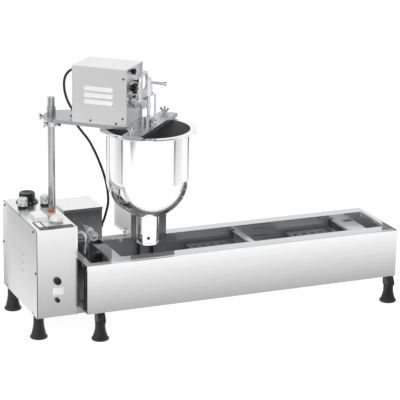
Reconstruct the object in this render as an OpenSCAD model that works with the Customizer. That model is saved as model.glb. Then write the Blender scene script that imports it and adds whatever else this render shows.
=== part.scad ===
// Automatic single-row mini donut fryer: a narrow control box, a long oil tank in a
// sheet casing, a swivelling dosing head with a hopper, and a flipper drive.
// Millimetres, +Z up, +X along the tank towards the exit end, +Y to the back.
// Sizes are measured from the control box's front left floor corner, and the whole
// part is then moved so that the origin is the middle of its footprint on the floor.

/* [Control box] */
// Width of the control box
box_w = 115; // [105:1:140]
// Depth of the control box
box_d = 305; // [290:1:340]
// Height of the control box without its feet
box_h = 246; // [200:1:300]
// Thickness of the folded sheet
sheet = 1.5; // [1:0.1:2.5]
// Thickness of the control box's floor
box_floor_t = 2; // [1.5:0.1:4]
// Width of the folded lip that the left cover is screwed to
box_lip = 14; // [10:1:20]

/* [Feet] */
// Height of the rubber feet under the control box
foot_h = 66; // [58:1:90]
// Height of the rubber feet under the casing's cross bars
casing_foot_h = 50; // [40:1:56]
// Diameter of a foot on the floor
foot_base_d = 48; // [36:1:56]
// Diameter of a foot at its top
foot_top_d = 29; // [22:1:32]
// Distance of the box feet from the left face
box_foot_x = 15; // [14:1:30]
// Distance of the box feet from the front and back faces
box_foot_y = 34; // [28:1:60]
// Distance of the casing's left feet from its left end
casing_foot_left = 46; // [35:1:90]
// Distance of the casing's right feet from its right end
casing_foot_right = 8; // [8:1:60]
// Distance of the casing's front feet from its front face
casing_foot_y = 26; // [25:1:60]
// Width of the black cross bars under the casing
bar_w = 22; // [16:1:26]
// Height of the cross bars
bar_t = 10; // [6:0.5:14]
// Length of the block between a cross bar and its foot
neck_l = 30; // [24:1:36]
// Height of that block's upright end
neck_end_h = 11; // [6:1:16]
// How far that block's end slopes back to the cross bar
neck_slope = 14; // [8:1:20]

/* [Fryer casing] */
// Gap between the control box and the casing
casing_gap = 5; // [2:0.5:15]
// Length of the casing
casing_l = 930; // [900:1:1000]
// Depth of the casing
casing_d = 234; // [225:1:260]
// Height of the casing up to the tank flange
casing_h = 137; // [125:1:170]
// How far the casing stands forward of the control box
casing_forward = 62; // [50:1:70]
// How far the casing's floor is above the control box's floor
casing_lift = 18; // [12:1:30]
// Height of the rim frame's skirt
skirt_h = 11.5; // [8:0.5:20]
// Thickness of the rim frame
rim_t = 1.2; // [1:0.1:2]
// Width of the rim frame at the left end
rim_left = 20; // [12:1:26]
// Width of the bar that joins the box and the casing at floor level
joiner_w = 24; // [15:1:40]
// How far the joining bar reaches under the casing
joiner_reach = 34; // [20:1:40]

/* [Oil tank] */
// Length of the oil tank inside
tank_l = 800; // [780:1:805]
// Width of the oil tank inside
tank_w = 147; // [140:1:150]
// Depth of the oil tank inside
tank_depth = 100; // [85:1:115]
// Sheet thickness of the tank
tank_t = 1.5; // [1:0.1:2]
// Radius of the tank's upright corners
tank_r = 4; // [3:0.5:8]
// Distance of the tank from the casing's left end
tank_from_left = 112; // [105:1:115]
// Distance of the tank from the casing's front
tank_from_front = 44; // [40:1:48]
// Flange width in front
flange_front = 34; // [28:1:38]
// Flange width behind
flange_back = 36; // [30:1:38]
// Flange width at the left end
flange_left = 39; // [32:1:44]
// Flange width at the right end
flange_right = 12; // [8:1:13]
// Height of the upturned lip at the flange's left edge
flange_lip_h = 4; // [2:0.5:8]
// Distance from the tank's left end to the cross strip
strip_x = 402; // [396:1:420]
// Width of the cross strip
strip_w = 20; // [12:1:30]
// Depth of the cross strip and of the exit plate below the rim
strip_drop = 22; // [20:1:30]
// Distance from the tank's left end to the exit plate
exit_x = 714; // [708:1:720]
// Length of the exit plate along the tank
exit_l = 60; // [45:1:65]
// Distance from the exit plate's start to the notch at its back end
notch_x = 28; // [24:1:30]
// Length of that notch
notch_l = 27; // [20:1:28]
// Depth of that notch
notch_w = 11; // [8:1:14]
// Thickness of the cross strip and the exit plate
strip_t = 2; // [1.5:0.5:3]
// Depth of their legs along the tank's walls
strip_leg = 12; // [8:1:16]
// Depth of their folded edge
strip_fold = 6; // [4:0.5:8]

/* [Flippers] */
// Diameter of the flipper shafts
flip_shaft_d = 8; // [6:0.5:10]
// Distance of the first flipper shaft from the tank's left end
flip_x1 = 386; // [370:1:388]
// Distance of the second flipper shaft from the tank's left end
flip_x2 = 696; // [690:1:699]
// Depth of the flipper shafts below the rim
flip_drop = 11; // [9:1:13]
// Length of a flipper tray
tray_l = 150; // [120:1:170]
// Depth of the tray below its shaft
tray_drop = 19; // [16:1:24]
// Distance of the tray from the tank's front and back walls
tray_side = 10; // [9:1:20]
// Thickness of a flipper tray's sheet
tray_t = 1.2; // [1:0.1:2]
// Drain holes along a flipper tray
tray_holes = 5; // [3:1:6]
// Diameter of a drain hole
tray_hole_d = 12; // [8:1:14]
// Distance of the drain holes from the tray's back edge
tray_plain = 40; // [34:1:46]
// Length of the lever that turns a flipper
lever_r = 14; // [12:1:15]
// Diameter of the lever's pin
lever_pin_d = 5; // [4:0.5:6]
// Turn of a flipper from its rest to its end
flip_turn = 110; // [90:5:110]
// Diameter of the push rod
rod_d = 8; // [6:0.5:10]

/* [Flipper drive] */
// Width of the drive housing
drive_w = 113; // [100:1:118]
// Depth of the drive housing
drive_d = 112; // [105:1:125]
// Height of the drive housing
drive_h = 88; // [80:1:110]
// Gap between the control box and the drive housing
drive_gap = 15; // [8:1:20]
// Distance of the drive housing from the casing's back face
drive_in = 12; // [8:1:14]
// Distance of the drive shaft from the housing's left face
shaft_x = 59; // [52:1:64]
// Height of the drive shaft above the rim
shaft_up = 38; // [34:1:44]
// Diameter of the drive shaft
shaft_d = 12; // [8:0.5:14]
// Length of the drive crank from shaft to pin
crank_r = 20; // [18:0.5:22]
// Diameter of the drive crank's pin
crank_pin_d = 8; // [6:0.5:10]
// Turn of the drive crank from its rest to its end
crank_turn = 70; // [60:1:80]
// Height of the drive housing's lid edge
lid_skirt = 8; // [5:0.5:14]
// Width of the drive's gear case
gear_w = 56; // [46:1:64]
// Depth of the drive's gear case
gear_d = 42; // [36:1:46]
// Height of the gear case above the drive shaft
gear_up = 26; // [20:1:32]
// Diameter of the drive's motor can
can_d = 52; // [44:1:58]
// Length of the drive's motor can
can_l = 56; // [40:1:58]
// How far the push rod runs past the second flipper
rod_tail = 40; // [30:1:60]

/* [Heater] */
// Width of the heater's terminal box
heat_w = 104; // [90:1:130]
// Depth of the terminal box
heat_d = 137; // [125:1:160]
// Height of the terminal box
heat_h = 79; // [60:1:90]
// Distance of the terminal box from the tank's left end
heat_x = 77; // [60:1:100]
// How far the terminal box reaches over the tank
heat_over = 17; // [15:1:20]
// Diameter of the heating element's tube
heat_tube_d = 8; // [6:0.5:10]
// Height of the element above the tank's bottom
heat_up = 12; // [9:1:18]
// Distance between the element's two long legs
heat_pitch = 56; // [40:1:70]
// Distance of the element's bend from the tank's right end
heat_end = 45; // [40:1:90]

/* [Wire conduit] */
// Diameter of the bent conduit
conduit_d = 10; // [8:0.5:14]
// Bend radius of the conduit's middle line
conduit_r = 18; // [14:1:24]
// Depth of the conduit behind the box's front face
conduit_y = 42; // [30:1:60]
// Height of the conduit's upper run below the box's top
conduit_drop = 30; // [20:1:45]
// Length of the conduit's straight upper run
conduit_run = 19; // [17:1:26]

/* [Post and arm] */
// Diameter of the post
post_d = 20; // [16:0.5:24]
// Wall of the post
post_wall = 2; // [1.5:0.1:4]
// Height of the post above the box's top
post_up = 315; // [305:1:340]
// Distance of the post from the box's right face
post_in = 12; // [12:1:20]
// Distance of the post from the box's front face
post_y = 180; // [175:1:190]
// Height of the arm's top above the box's top
arm_up = 269; // [262:1:274]
// Turn of the dosing head towards the front
head_turn = 42; // [36:1:46]
// Half width of the arm
arm_half = 58; // [54:1:62]
// Thickness of the arm's sheet
arm_t = 2.5; // [2:0.1:4]
// Height of the arm's folded edge
arm_edge_h = 10; // [7:0.5:11]
// Distance from the post to the middle of the arm's round end
arm_round = 40; // [36:1:44]
// Distance from the post to the hopper
reach = 281; // [276:1:296]
// Width of the arm's cross strip over the hopper
cross_w = 50; // [44:1:54]
// How far the cross strip reaches behind the hopper's studs
cross_back = 19; // [17:1:22]
// How far the cross strip reaches past the hopper's studs
cross_over = 18; // [14:1:26]
// Outer diameter of the arm's sleeve
sleeve_d = 24.5; // [23:0.5:30]
// Height of the sleeve above the arm's top
sleeve_up = 19; // [12:1:30]
// Height of the sleeve below the arm's top
sleeve_down = 18; // [15:1:24]
// Height of the stop collar
collar_h = 16; // [10:1:22]
// Outer diameter of the stop collar
collar_d = 30; // [27:0.5:36]

/* [Motor box] */
// Distance from the mechanism plate to the plunger rod
mech_reach = 46; // [45:1:54]
// Width of the motor box
motor_w = 117; // [110:1:120]
// Height of the motor box
motor_h = 153; // [150:1:170]
// Distance from the post to the motor box
motor_u = 86; // [80:1:88]
// How deep the mechanism plate lies in the motor box's open end
plate_in = 6; // [3:0.5:10]
// Thickness of the mechanism plate
plate_t = 3; // [2:0.5:5]
// Length of the dosing motor's gear case
dose_gear_l = 56; // [48:1:62]
// Half width of that gear case
dose_gear_half = 32; // [26:1:40]
// Height of that gear case above the dosing shaft
dose_gear_up = 28; // [22:1:34]
// Diameter of the dosing motor's can
dose_can_d = 56; // [46:1:62]
// Distance of the can's end from the motor box's end
dose_can_room = 16; // [10:1:24]
// Louvres in the front and back of the motor box
louvre_count = 3; // [2:1:4]
// Length of a louvre
louvre_l = 80; // [60:1:95]
// Distance between louvres
louvre_step = 18; // [16:0.5:20]
// Height of a louvre
louvre_h = 12; // [9:0.5:13]
// How far a louvre stands out
louvre_out = 5; // [3:0.5:8]

/* [Dosing mechanism] */
// Diameter of the dosing shaft
dose_shaft_d = 12; // [8:0.5:14]
// Height of the dosing shaft above the arm
dose_up = 57; // [55:1:62]
// Throw of the dosing crank
dose_r = 10; // [8:0.5:11]
// Diameter of the dosing crank's disc
dose_disc_d = 38; // [34:1:40]
// Diameter of the dosing crank's pin
dose_pin_d = 8; // [6:0.5:9]
// Width of the yoke
yoke_w = 60; // [54:1:70]
// Height of the yoke
yoke_h = 102; // [98:1:110]
// Thickness of the yoke
yoke_t = 6; // [5:0.5:8]
// Height of the yoke's lower end above the arm
yoke_up = 40; // [38:1:44]
// Diameter of the rod holder
holder_d = 20; // [17:0.5:24]
// Height of the rod holder
holder_h = 44; // [42:1:52]
// Height of the rod holder's lower end above the arm
holder_up = 77; // [74:1:84]
// Diameter of the plunger rod
plunger_d = 8; // [6:0.5:10]
// Diameter of the collar on the plunger rod
rod_collar_d = 12; // [10:0.5:14]
// Height of that collar
rod_collar_h = 16; // [10:1:20]
// Diameter of the boss that guides the plunger rod
boss_d = 27; // [22:1:28]
// Height of that boss
boss_h = 20; // [14:1:24]
// Diameter of the bent guide rod
guide_d = 6; // [4:0.5:7]
// Distance of the guide rod from the plunger rod
guide_off = 18.5; // [18:0.5:22]
// Length of the lift handle
handle_l = 36; // [25:1:50]
// Diameter of the lift handle's ball
ball_d = 11; // [8:0.5:16]
// Diameter of the lower star knob
star_d = 30; // [24:1:32]
// Diameter of the upper star knob
star_small_d = 17; // [16:1:24]

/* [Hopper] */
// Outer diameter of the hopper
hopper_d = 226; // [210:1:240]
// Wall of the hopper
hopper_t = 1.5; // [1:0.1:3]
// How far the hopper's rim stands out from its wall
rim_out = 17; // [16:1:22]
// Thickness of the rim's flat ring
rim_ring_t = 2; // [1.5:0.5:2.5]
// Diameter of the rim's rolled edge
rim_roll_d = 5; // [4:0.5:7]
// Distance from the arm's top down to the hopper's rim
hopper_drop = 12; // [12:0.5:16]
// Height of the hopper from its rim to the spout
hopper_h = 240; // [230:1:250]
// Height of the hopper's studs above the arm
stud_up = 20; // [17:1:26]
// Outer diameter of the spout
spout_d = 60; // [50:1:66]
// Wall of the spout
spout_t = 2; // [1.5:0.1:3]
// Length of the spout below the bowl
spout_l = 78; // [60:1:82]
// Diameter of the forming disc at the plunger's end
former_d = 36; // [28:1:44]
// Height of the plunger's piston
piston_h = 12; // [8:1:18]

/* [Controls] */
// Diameter of the thermostat knob's skirt
knob_skirt_d = 62; // [50:1:64]
// Diameter of the thermostat knob's grip
knob_d = 44; // [34:1:48]
// Height of the thermostat knob
knob_h = 28; // [20:1:36]
// Depth of the dish in the knob's top
knob_dish = 3.5; // [2:0.5:5]
// Distance of the knob from the box's left face
knob_x = 58; // [54:1:62]
// Distance of the knob from the box's back face
knob_back = 42; // [40:1:48]
// Diameter of the clear boots over the switches
boot_d = 27; // [24:1:27]
// Height of the clear boots
boot_h = 28; // [22:1:32]
// Distance of the left switch from the left face
switch_left = 31; // [28:1:33]
// Distance of the right switch from the right face
switch_right = 18; // [17:1:21]
// Distance of the left switch in front of the knob
switch_ahead = 45; // [44:1:49]
// Distance of the pilot lamp from the right face
lamp_right = 29; // [25:1:33]
// Distance of the pilot lamp from the front face
lamp_y = 134; // [125:1:140]
// Diameter of the pilot lamp
lamp_d = 21; // [16:1:24]
// Distance of the dome button from the right face
dome_right = 37; // [33:1:42]
// Distance of the dome button from the front face
dome_y = 66; // [60:1:72]
// Diameter of the dome button
dome_d = 38; // [30:1:40]
// Travel of the dome button
dome_travel = 3; // [2:0.5:4]
// Height of the fuse cap above the box's floor
fuse_z = 101; // [90:1:130]
// Diameter of the fuse cap
fuse_d = 21; // [14:1:24]
// Height of the reset button above the box's floor
reset_z = 47; // [35:1:60]
// Diameter of the reset button
reset_d = 12; // [8:0.5:14]

/* [Cable] */
// Diameter of the motor cable
cable_d = 7; // [6:0.5:8]
// Distance of the cable's hole in the arm from the motor box
cable_back = 20; // [17:1:24]
// Height of the upper gland above the arm
gland_up = 131; // [120:1:140]
// Diameter of the glands
gland_d = 13; // [11:0.5:15]
// Length of the upper gland
gland_l = 8; // [6:0.5:12]
// How far the cable's loop stands out behind the motor box
loop_out = 33; // [28:1:38]
// How far the lower gland's end is from the drive housing
low_gland_out = 8.5; // [7:0.5:11]
// Length of the slanted lower gland
low_gland_l = 24; // [20:1:30]
// Distance of the lower gland from the drive housing's front
low_gland_y = 26; // [20:1:40]
// Height of the lower gland's end above the rim
low_gland_up = 30; // [26:1:36]
// Slant of the lower gland from upright
low_gland_tilt = 30; // [24:1:36]

/* [Fits] */
// Running clearance of a shaft in its hole, on the radius
run = 0.06; // [0.02:0.01:0.1]
// Clearance round pieces that are pushed through sheet, on the radius
slip = 0.1; // [0.05:0.05:0.3]
// Clearance between pieces that move past each other
clear = 0.4; // [0.3:0.1:0.8]

/* [Hidden] */
$fn = 64;

// Heights
box_z0 = foot_h;
box_z1 = box_z0 + box_h;
casing_z0 = box_z0 + casing_lift;
rim_z = casing_z0 + casing_h;
frame_z = rim_z - tank_t;

// Casing and tank in plan
cx0 = box_w + casing_gap;
cx1 = cx0 + casing_l;
cy0 = -casing_forward;
cy1 = cy0 + casing_d;
tx0 = cx0 + tank_from_left;
tx1 = tx0 + tank_l;
ty0 = cy0 + tank_from_front;
ty1 = ty0 + tank_w;
tz0 = rim_z - tank_depth;

// Dosing head
post_x = box_w - post_in;
arm_z = box_z1 + arm_up;
hop_y = post_y - reach * sin(head_turn);
hopper_z = arm_z - hopper_drop;
hopper_r = hopper_d / 2;
hopper_rim_d = hopper_d + 2 * rim_out;
spout_r = spout_d / 2;
hopper_straight = hopper_h - sqrt(hopper_r * hopper_r - spout_r * spout_r);
bowl_z = hopper_z - hopper_straight;
bowl_end_z = hopper_z - hopper_h;
spout_z0 = bowl_end_z - spout_l;
cross_u0 = reach - cross_back;
arm_end = cross_u0 + cross_w;
stud_v = hopper_r + rim_out / 2;
cross_half = stud_v + cross_over;

// The origin is the middle of the footprint
mid_x = (box_foot_x - foot_base_d / 2 + cx1 - casing_foot_right + foot_base_d / 2) / 2;
mid_y = (hop_y - hopper_rim_d / 2 + box_d) / 2;

// Flipper drive
drive_x0 = box_w + drive_gap;
drive_y0 = cy1 - drive_in;
drive_x = drive_x0 + shaft_x;
drive_z = rim_z + shaft_up;
crank_y = drive_y0 - 50;
crank_t = 8;
crank_half = crank_turn / 2;
rod_travel = 2 * crank_r * sin(crank_half);
flip_half = flip_turn / 2;
flip_z = rim_z - flip_drop;
rod_z = flip_z - lever_r - 12;
lever_t = 5;
lever_y = ty1 + tank_t + 1;
rod_y = lever_y + lever_t + 5.5;
fork_t = 8;
fork_room = 0.8 + clear;
link_x = drive_x + crank_r * sin(crank_half);

// Dosing mechanism, in the arm's own frame
plate_u = reach - mech_reach;
motor_l = plate_u + plate_in - motor_u;
dose_can_l = motor_l - plate_in - plate_t - dose_gear_l - dose_can_room;
dose_z = arm_z + dose_up;
disc_u = plate_u + 5;
disc_t = 8;
yoke_u = reach - 17;
yoke_z = arm_z + yoke_up;
stroke = 2 * dose_r;
holder_z = arm_z + holder_up;
slot_room = 0.22 * dose_r + clear;
star_v = -12;
star_z = arm_z + 95;
star_small_z = arm_z + 140;
handle_z = holder_z + holder_h - 9;
former_z = spout_z0 - 1;

// Cable, in the arm's own frame and then in the machine's
cable_u = motor_u - cable_back;
cable_top = arm_z + gland_up;
cable_cut = arm_z - 1;
gland_u = motor_u - gland_l;
loop_shape = [[0.455, 0.056], [0.848, 0.177], [1, 0.355], [0.909, 0.565], [0.636, 0.758], [0.303, 0.903]];
upper_route = [
  for (s = [0, 0.5, 1]) [gland_u - s * cable_d, 0, cable_top],
  for (p = loop_shape)
    [gland_u - cable_d - loop_out * p[0], 0, cable_top - (cable_top - cable_cut - cable_d) * p[1]],
  for (s = [1, 0.5, 0]) [cable_u, 0, cable_cut + s * cable_d]
];
fall_start = head_point([cable_u, 0, cable_cut]);
fall_end = [drive_x0 + drive_w - rim_t + low_gland_out, drive_y0 + low_gland_y, rim_z + low_gland_up];
fall_span = fall_end - fall_start;
fall_way = [sin(low_gland_tilt), 0, cos(low_gland_tilt)];
fall_shape = [
  [0.081, -0.037, 0.074], [0.243, -0.017, 0.14], [0.436, 0.043, 0.216], [0.619, 0.123, 0.314], [0.792, 0.242, 0.425],
  [0.954, 0.422, 0.542], [1.076, 0.601, 0.659], [1.137, 0.741, 0.758], [1.152, 0.86, 0.828], [1.122, 0.96, 0.894],
  [1.071, 1, 0.954]
];
lower_route = [
  for (s = [0, 0.5, 1]) fall_start - [0, 0, s * cable_d],
  for (p = fall_shape) fall_start + [fall_span[0] * p[0], fall_span[1] * p[1], fall_span[2] * p[2]],
  for (s = [1, 0.5, 0]) fall_end + s * cable_d * fall_way
];

// Control box details
knob_y = box_d - knob_back;
switch_spots = [[switch_left, knob_y - switch_ahead], [box_w - switch_right, (post_y + knob_y) / 2]];
lamp_x = box_w - lamp_right;
dome_x = box_w - dome_right;
switch_stem_d = boot_d * 0.7;
rocker_half_x = 6;
rocker_half_y = 8.5;
rocker_turn = 24;
rocker_up = 3.4;
ring_h = 6;
knob_shaft_d = 6;
lamp_stem_d = lamp_d * 0.6;
dome_stem_d = dome_d * 0.6;
fuse_stem_d = fuse_d * 0.7;
reset_stem_d = reset_d * 0.7;
reset_travel = 2;
panel_t = 0.8;
panel_x = 13;
panel_y = 6;
panel_w = box_w - panel_x - 6;
panel_edge = 5;
band_d = 24;
column_w = 23;
column_d = 72;
pad_x = 27;
pad_y = 88;
pad_w = 35;
pad_d = 60;
pad_h = 8;
side_louvre_l = 85;
side_louvre_y = 121;
side_louvre_z = box_z0 + 152;
side_louvre_step = 22.5;
side_louvre_out = 4;

// Casing details
bar_spots = [cx0 + casing_foot_left, cx1 - casing_foot_right];
front_foot_y = cy0 + casing_foot_y;
back_foot_y = box_d - box_foot_y;
joiner_y = 4;
bay_y0 = cy0 + 24;
bay_y1 = drive_y0 - 10;
notch_y = crank_y - 6;
flip_spots = [tx0 + flip_x1, tx0 + flip_x2];
bush_l = 8;
link_y = crank_y + crank_t + 3;
guide_x1 = 150;
guide_x2 = 550;
drive_z1 = rim_z + drive_h;
bracket_sheet = 3;
rear_inset = 10;
rear_back = 15;
rear_drop = 45;
conduit_in = 8;
conduit_foot_d = conduit_d + 14;
conduit_foot_t = 3;
crank_end_d = 26;
heat_y0 = ty1 - heat_over;

// Head details
collar_z = arm_z - sleeve_down - collar_h - clear;
collar_a1 = 200 + head_turn;
collar_a2 = -20 + head_turn;
clamp_d = 6;
clamp_a = 180 + head_turn;
clamp_z = arm_z - 6;
stud_d = 6;
grommet_d = 14;
louvre_in = 36;
louvre_up = 101;
guide_z = holder_z + 6;
guide_foot = 9;
handle_d = 7;

// Colours as the photograph shows them
steel_c = [0.86, 0.86, 0.86];
bright_c = [0.93, 0.93, 0.94];
shade_c = [0.62, 0.62, 0.63];
black_c = [0.08, 0.08, 0.08];
rubber_c = [0.12, 0.12, 0.12];
white_c = [0.95, 0.95, 0.93];
amber_c = [0.80, 0.45, 0.25];
clear_c = [0.85, 0.88, 0.88, 0.5];

// A point of the arm's frame in the machine's frame
function head_point(p) = [
  post_x + p[0] * cos(head_turn) + p[1] * sin(head_turn),
  post_y - p[0] * sin(head_turn) + p[1] * cos(head_turn),
  p[2]
];
echo(arm_point = [post_x - mid_x, post_y - mid_y, arm_z], mid = [mid_x, mid_y], hop_y = hop_y);
echo(drive = [drive_x - mid_x, crank_y - mid_y, drive_z], rod_travel = rod_travel, link_x = link_x - mid_x);
echo(flip = [tx0 + flip_x1 - mid_x, tx0 + flip_x2 - mid_x, flip_z], dose_z = dose_z, stroke = stroke);
echo(spout_z0 = spout_z0, bowl_end_z = bowl_end_z, bowl_z = bowl_z, rim_z = rim_z, hopper_z = hopper_z);

// Moves machine sizes to the part's origin
module place() { translate([-mid_x, -mid_y, 0]) children(); }

// The arm's own frame: its first axis runs from the post to the hopper
module on_arm() { place() translate([post_x, post_y, 0]) rotate([0, 0, -head_turn]) children(); }

// A cylinder along X, along Y, and a block given by its two corners
module rod_along_x(d, l) { rotate([0, 90, 0]) cylinder(d = d, h = l); }
module rod_along_y(d, l) { rotate([-90, 0, 0]) cylinder(d = d, h = l); }
module block(a, b) { translate(a) cube(b - a); }

// A flat outline with round ends, long in its first direction
module pill(l, d) {
  circle(d = d);
  translate([0, -d / 2]) square([l, d]);
  translate([l, 0]) circle(d = d);
}

// A rectangle with round corners, from its lower left corner
module round_rect(l, w, r) {
  translate([r, 0]) square([l - 2 * r, w]);
  translate([0, r]) square([l, w - 2 * r]);
  for (x = [r, l - r], y = [r, w - r]) translate([x, y]) circle(r = r);
}

// A pressed louvre on the plane y = 0 that opens downwards, and the cut behind it
module louvre_hood(l, h, out, t) {
  rotate([90, 0, 90]) linear_extrude(l) polygon([[0, 0], [-out, -h + t], [-out, -h], [-out + t, -h], [0, -2 * t]]);
  for (x = [0, l - t]) translate([x, 0, 0]) rotate([90, 0, 90]) linear_extrude(t)
    polygon([[0, 0], [-out, -h + t], [-out, -h], [0, -h]]);
}
module louvre_cut(l, h, t, wall) { translate([t, -wall, -h]) cube([l - 2 * t, 3 * wall, h - 2.5 * t]); }

// A knob with lobes round a hub, along z, with a bore for its stud
module star_knob(d, h, lobes, bore) {
  difference() {
    union() {
      cylinder(d = d * 0.45, h = h);
      for (i = [0 : lobes - 1]) rotate([0, 0, i * 360 / lobes]) {
        translate([0, -d * 0.085, 0]) cube([d * 0.415, d * 0.17, h]);
        translate([d * 0.415, 0, 0]) cylinder(d = d * 0.17, h = h);
      }
    }
    translate([0, 0, -1]) cylinder(d = bore, h = h * 0.6 + 1);
  }
}

// A foot: a concave cone with a lip, from its outline
module foot_cone(h) {
  r0 = foot_base_d / 2;
  r1 = foot_top_d / 2;
  sag = (r0 - r1) * 0.30;
  rotate_extrude() polygon([
    [0, 0], [r0 - 1.5, 0], [r0, 1.5], [r0, 5], [r0 - 1.5, 6.5],
    for (i = [0 : 8]) [r0 - 3 - (r0 - 3 - r1) * i / 8 - sag * sin(180 * i / 8), 8 + (h - 8) * i / 8],
    [0, h]
  ]);
}

// Points of a smooth curve through a route, a few between each two
function blend(a, b, c, d, t) = 0.5 * (2 * b + (c - a) * t + (2 * a - 5 * b + 4 * c - d) * t * t
  + (3 * b - a - 3 * c + d) * t * t * t);
function curve(p, n) = [
  for (i = [0 : len(p) - 2], j = [0 : n - 1])
    blend(p[max(i - 1, 0)], p[i], p[i + 1], p[min(i + 2, len(p) - 1)], j / n),
  p[len(p) - 1]
];
function unit(v) = v / norm(v);
function heading(p, i) = unit(p[min(i + 1, len(p) - 1)] - p[max(i - 1, 0)]);

// A tube along a curve that never runs along the side direction
module swept_tube(p, d, side, sides) {
  n = len(p);
  points = [
    for (i = [0 : n - 1]) let (t = heading(p, i), a = unit(cross(t, side)), b = cross(t, a))
      for (k = [0 : sides - 1]) p[i] + d / 2 * (cos(360 * k / sides) * a + sin(360 * k / sides) * b)
  ];
  faces = [
    [for (k = [0 : sides - 1]) k],
    for (i = [0 : n - 2], k = [0 : sides - 1]) let (m = (k + 1) % sides)
      [i * sides + k, (i + 1) * sides + k, (i + 1) * sides + m],
    for (i = [0 : n - 2], k = [0 : sides - 1]) let (m = (k + 1) % sides)
      [i * sides + k, (i + 1) * sides + m, i * sides + m],
    [for (k = [sides - 1 : -1 : 0]) (n - 1) * sides + k]
  ];
  polyhedron(points, faces, convexity = 6);
}

// Control box: front, right side, back and top folded from one sheet, with lips on the left
module control_box() {
  color(steel_c) place() difference() {
    block([sheet, 0, box_z0], [box_w, box_d, box_z1]);
    block([2 * sheet, sheet, box_z0 - 1], [box_w - sheet, box_d - sheet, box_z1 - sheet]);
    block([sheet - 1, box_lip, box_z0 - 1], [3 * sheet, box_d - box_lip, box_z1 - box_lip]);
    block([sheet - 1, sheet, box_z0 - 1], [3 * sheet, box_d - sheet, box_z0 + box_floor_t]);
    translate([post_x, post_y, box_z1 - 2 * sheet]) cylinder(d = post_d + 2 * slip, h = 3 * sheet);
    translate([knob_x, knob_y, box_z1 - 2 * sheet]) cylinder(d = knob_shaft_d + 4, h = 3 * sheet);
    translate([dome_x, dome_y, box_z1 - 2 * sheet]) cylinder(d = dome_stem_d + 2 * run, h = 3 * sheet);
    translate([lamp_x, lamp_y, box_z1 - 2 * sheet]) cylinder(d = lamp_stem_d + 2 * slip, h = 3 * sheet);
    for (s = switch_spots)
      translate([s[0], s[1], box_z1 - 2 * sheet]) cylinder(d = switch_stem_d + 2 * slip, h = 3 * sheet);
    translate([box_w / 2, -sheet, box_z0 + fuse_z]) rod_along_y(fuse_stem_d + 2 * run, 3 * sheet);
    translate([box_w / 2, -sheet, box_z0 + reset_z]) rod_along_y(reset_stem_d + 2 * run, 3 * sheet);
    translate([box_w - 2 * sheet, conduit_y, box_z1 - conduit_drop]) rod_along_x(conduit_d + 2 * slip, 3 * sheet);
  }
}

// Left cover of the control box, with louvres and two slits over the feet
module side_cover() {
  color(steel_c) place() {
    difference() {
      block([0, 0, box_z0], [sheet, box_d, box_z1]);
      for (i = [0 : louvre_count - 1])
        translate([0, side_louvre_y + side_louvre_l, side_louvre_z - i * side_louvre_step])
          rotate([0, 0, -90]) louvre_cut(side_louvre_l, louvre_h, sheet, sheet);
      for (y = [box_foot_y, box_d - box_foot_y]) block([-1, y - 9, box_z0 + 4], [sheet + 1, y + 9, box_z0 + 7]);
    }
    for (i = [0 : louvre_count - 1])
      translate([0, side_louvre_y + side_louvre_l, side_louvre_z - i * side_louvre_step])
        rotate([0, 0, -90]) louvre_hood(side_louvre_l, louvre_h, side_louvre_out, sheet);
  }
}

// Floor of the control box
module box_floor() {
  color(shade_c) place() block([sheet, sheet, box_z0], [box_w - sheet, box_d - sheet, box_z0 + box_floor_t]);
}

// Black overlay on the box's top: a band in front and a column with a window
module panel_frame() {
  color(black_c) place() translate([0, 0, box_z1]) linear_extrude(panel_t) difference() {
    union() {
      translate([panel_x, panel_y]) round_rect(panel_w, band_d, 3);
      translate([panel_x, panel_y]) round_rect(column_w, column_d, 3);
    }
    panel_window(0);
  }
}
module panel_window(inset) {
  translate([panel_x + panel_edge + inset, panel_y + band_d + inset])
    round_rect(column_w - 2 * panel_edge - 2 * inset, column_d - band_d - panel_edge - 2 * inset, 2);
}

// Pale window of the overlay, and the bare raised plate behind it
module panel_plate() {
  color(white_c) place() translate([0, 0, box_z1]) {
    linear_extrude(panel_t) panel_window(slip);
    translate([pad_x, pad_y]) linear_extrude(pad_h) round_rect(pad_w, pad_d, 4);
  }
}

// Six rubber feet: two under the box's left side, and one under each end of the casing's cross bars
module feet() {
  color(rubber_c) place() {
    for (y = [box_foot_y, back_foot_y]) translate([box_foot_x, y, 0]) foot_cone(foot_h);
    for (x = bar_spots, y = [front_foot_y, back_foot_y]) translate([x, y, 0]) foot_cone(casing_foot_h);
  }
}

// Black cross bars under the casing, with a sloping block over each foot
module foot_brackets() {
  color(black_c) place() for (x = bar_spots) translate([x - bar_w / 2, 0, 0]) {
    block([0, front_foot_y, casing_z0 - bar_t], [bar_w, back_foot_y, casing_z0]);
    foot_block(front_foot_y, -1);
    foot_block(back_foot_y, 1);
  }
}
module foot_block(y, side) {
  end = side * neck_l / 2;
  translate([0, y, 0]) rotate([90, 0, 90]) linear_extrude(bar_w) polygon([
    [-end, casing_foot_h], [end, casing_foot_h], [end, casing_foot_h + neck_end_h],
    [end - side * neck_slope, casing_z0], [-end, casing_z0]
  ]);
}

// Bar between the box's right face and the casing's floor
module joining_bar() {
  color(shade_c) place()
    block([box_w, joiner_y, box_z0], [cx0 + joiner_reach, joiner_y + joiner_w, casing_z0]);
}

// Fryer casing: floor, front, back and right end, open on top and at the drive's end
module casing() {
  color(steel_c) place() difference() {
    block([cx0 + rim_t, cy0 + rim_t, casing_z0], [cx1 - rim_t, cy1 - rim_t, frame_z - rim_t]);
    block([cx0, cy0 + rim_t + sheet, casing_z0 + sheet], [cx1 - rim_t - sheet, cy1 - rim_t - sheet, rim_z]);
  }
}

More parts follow.
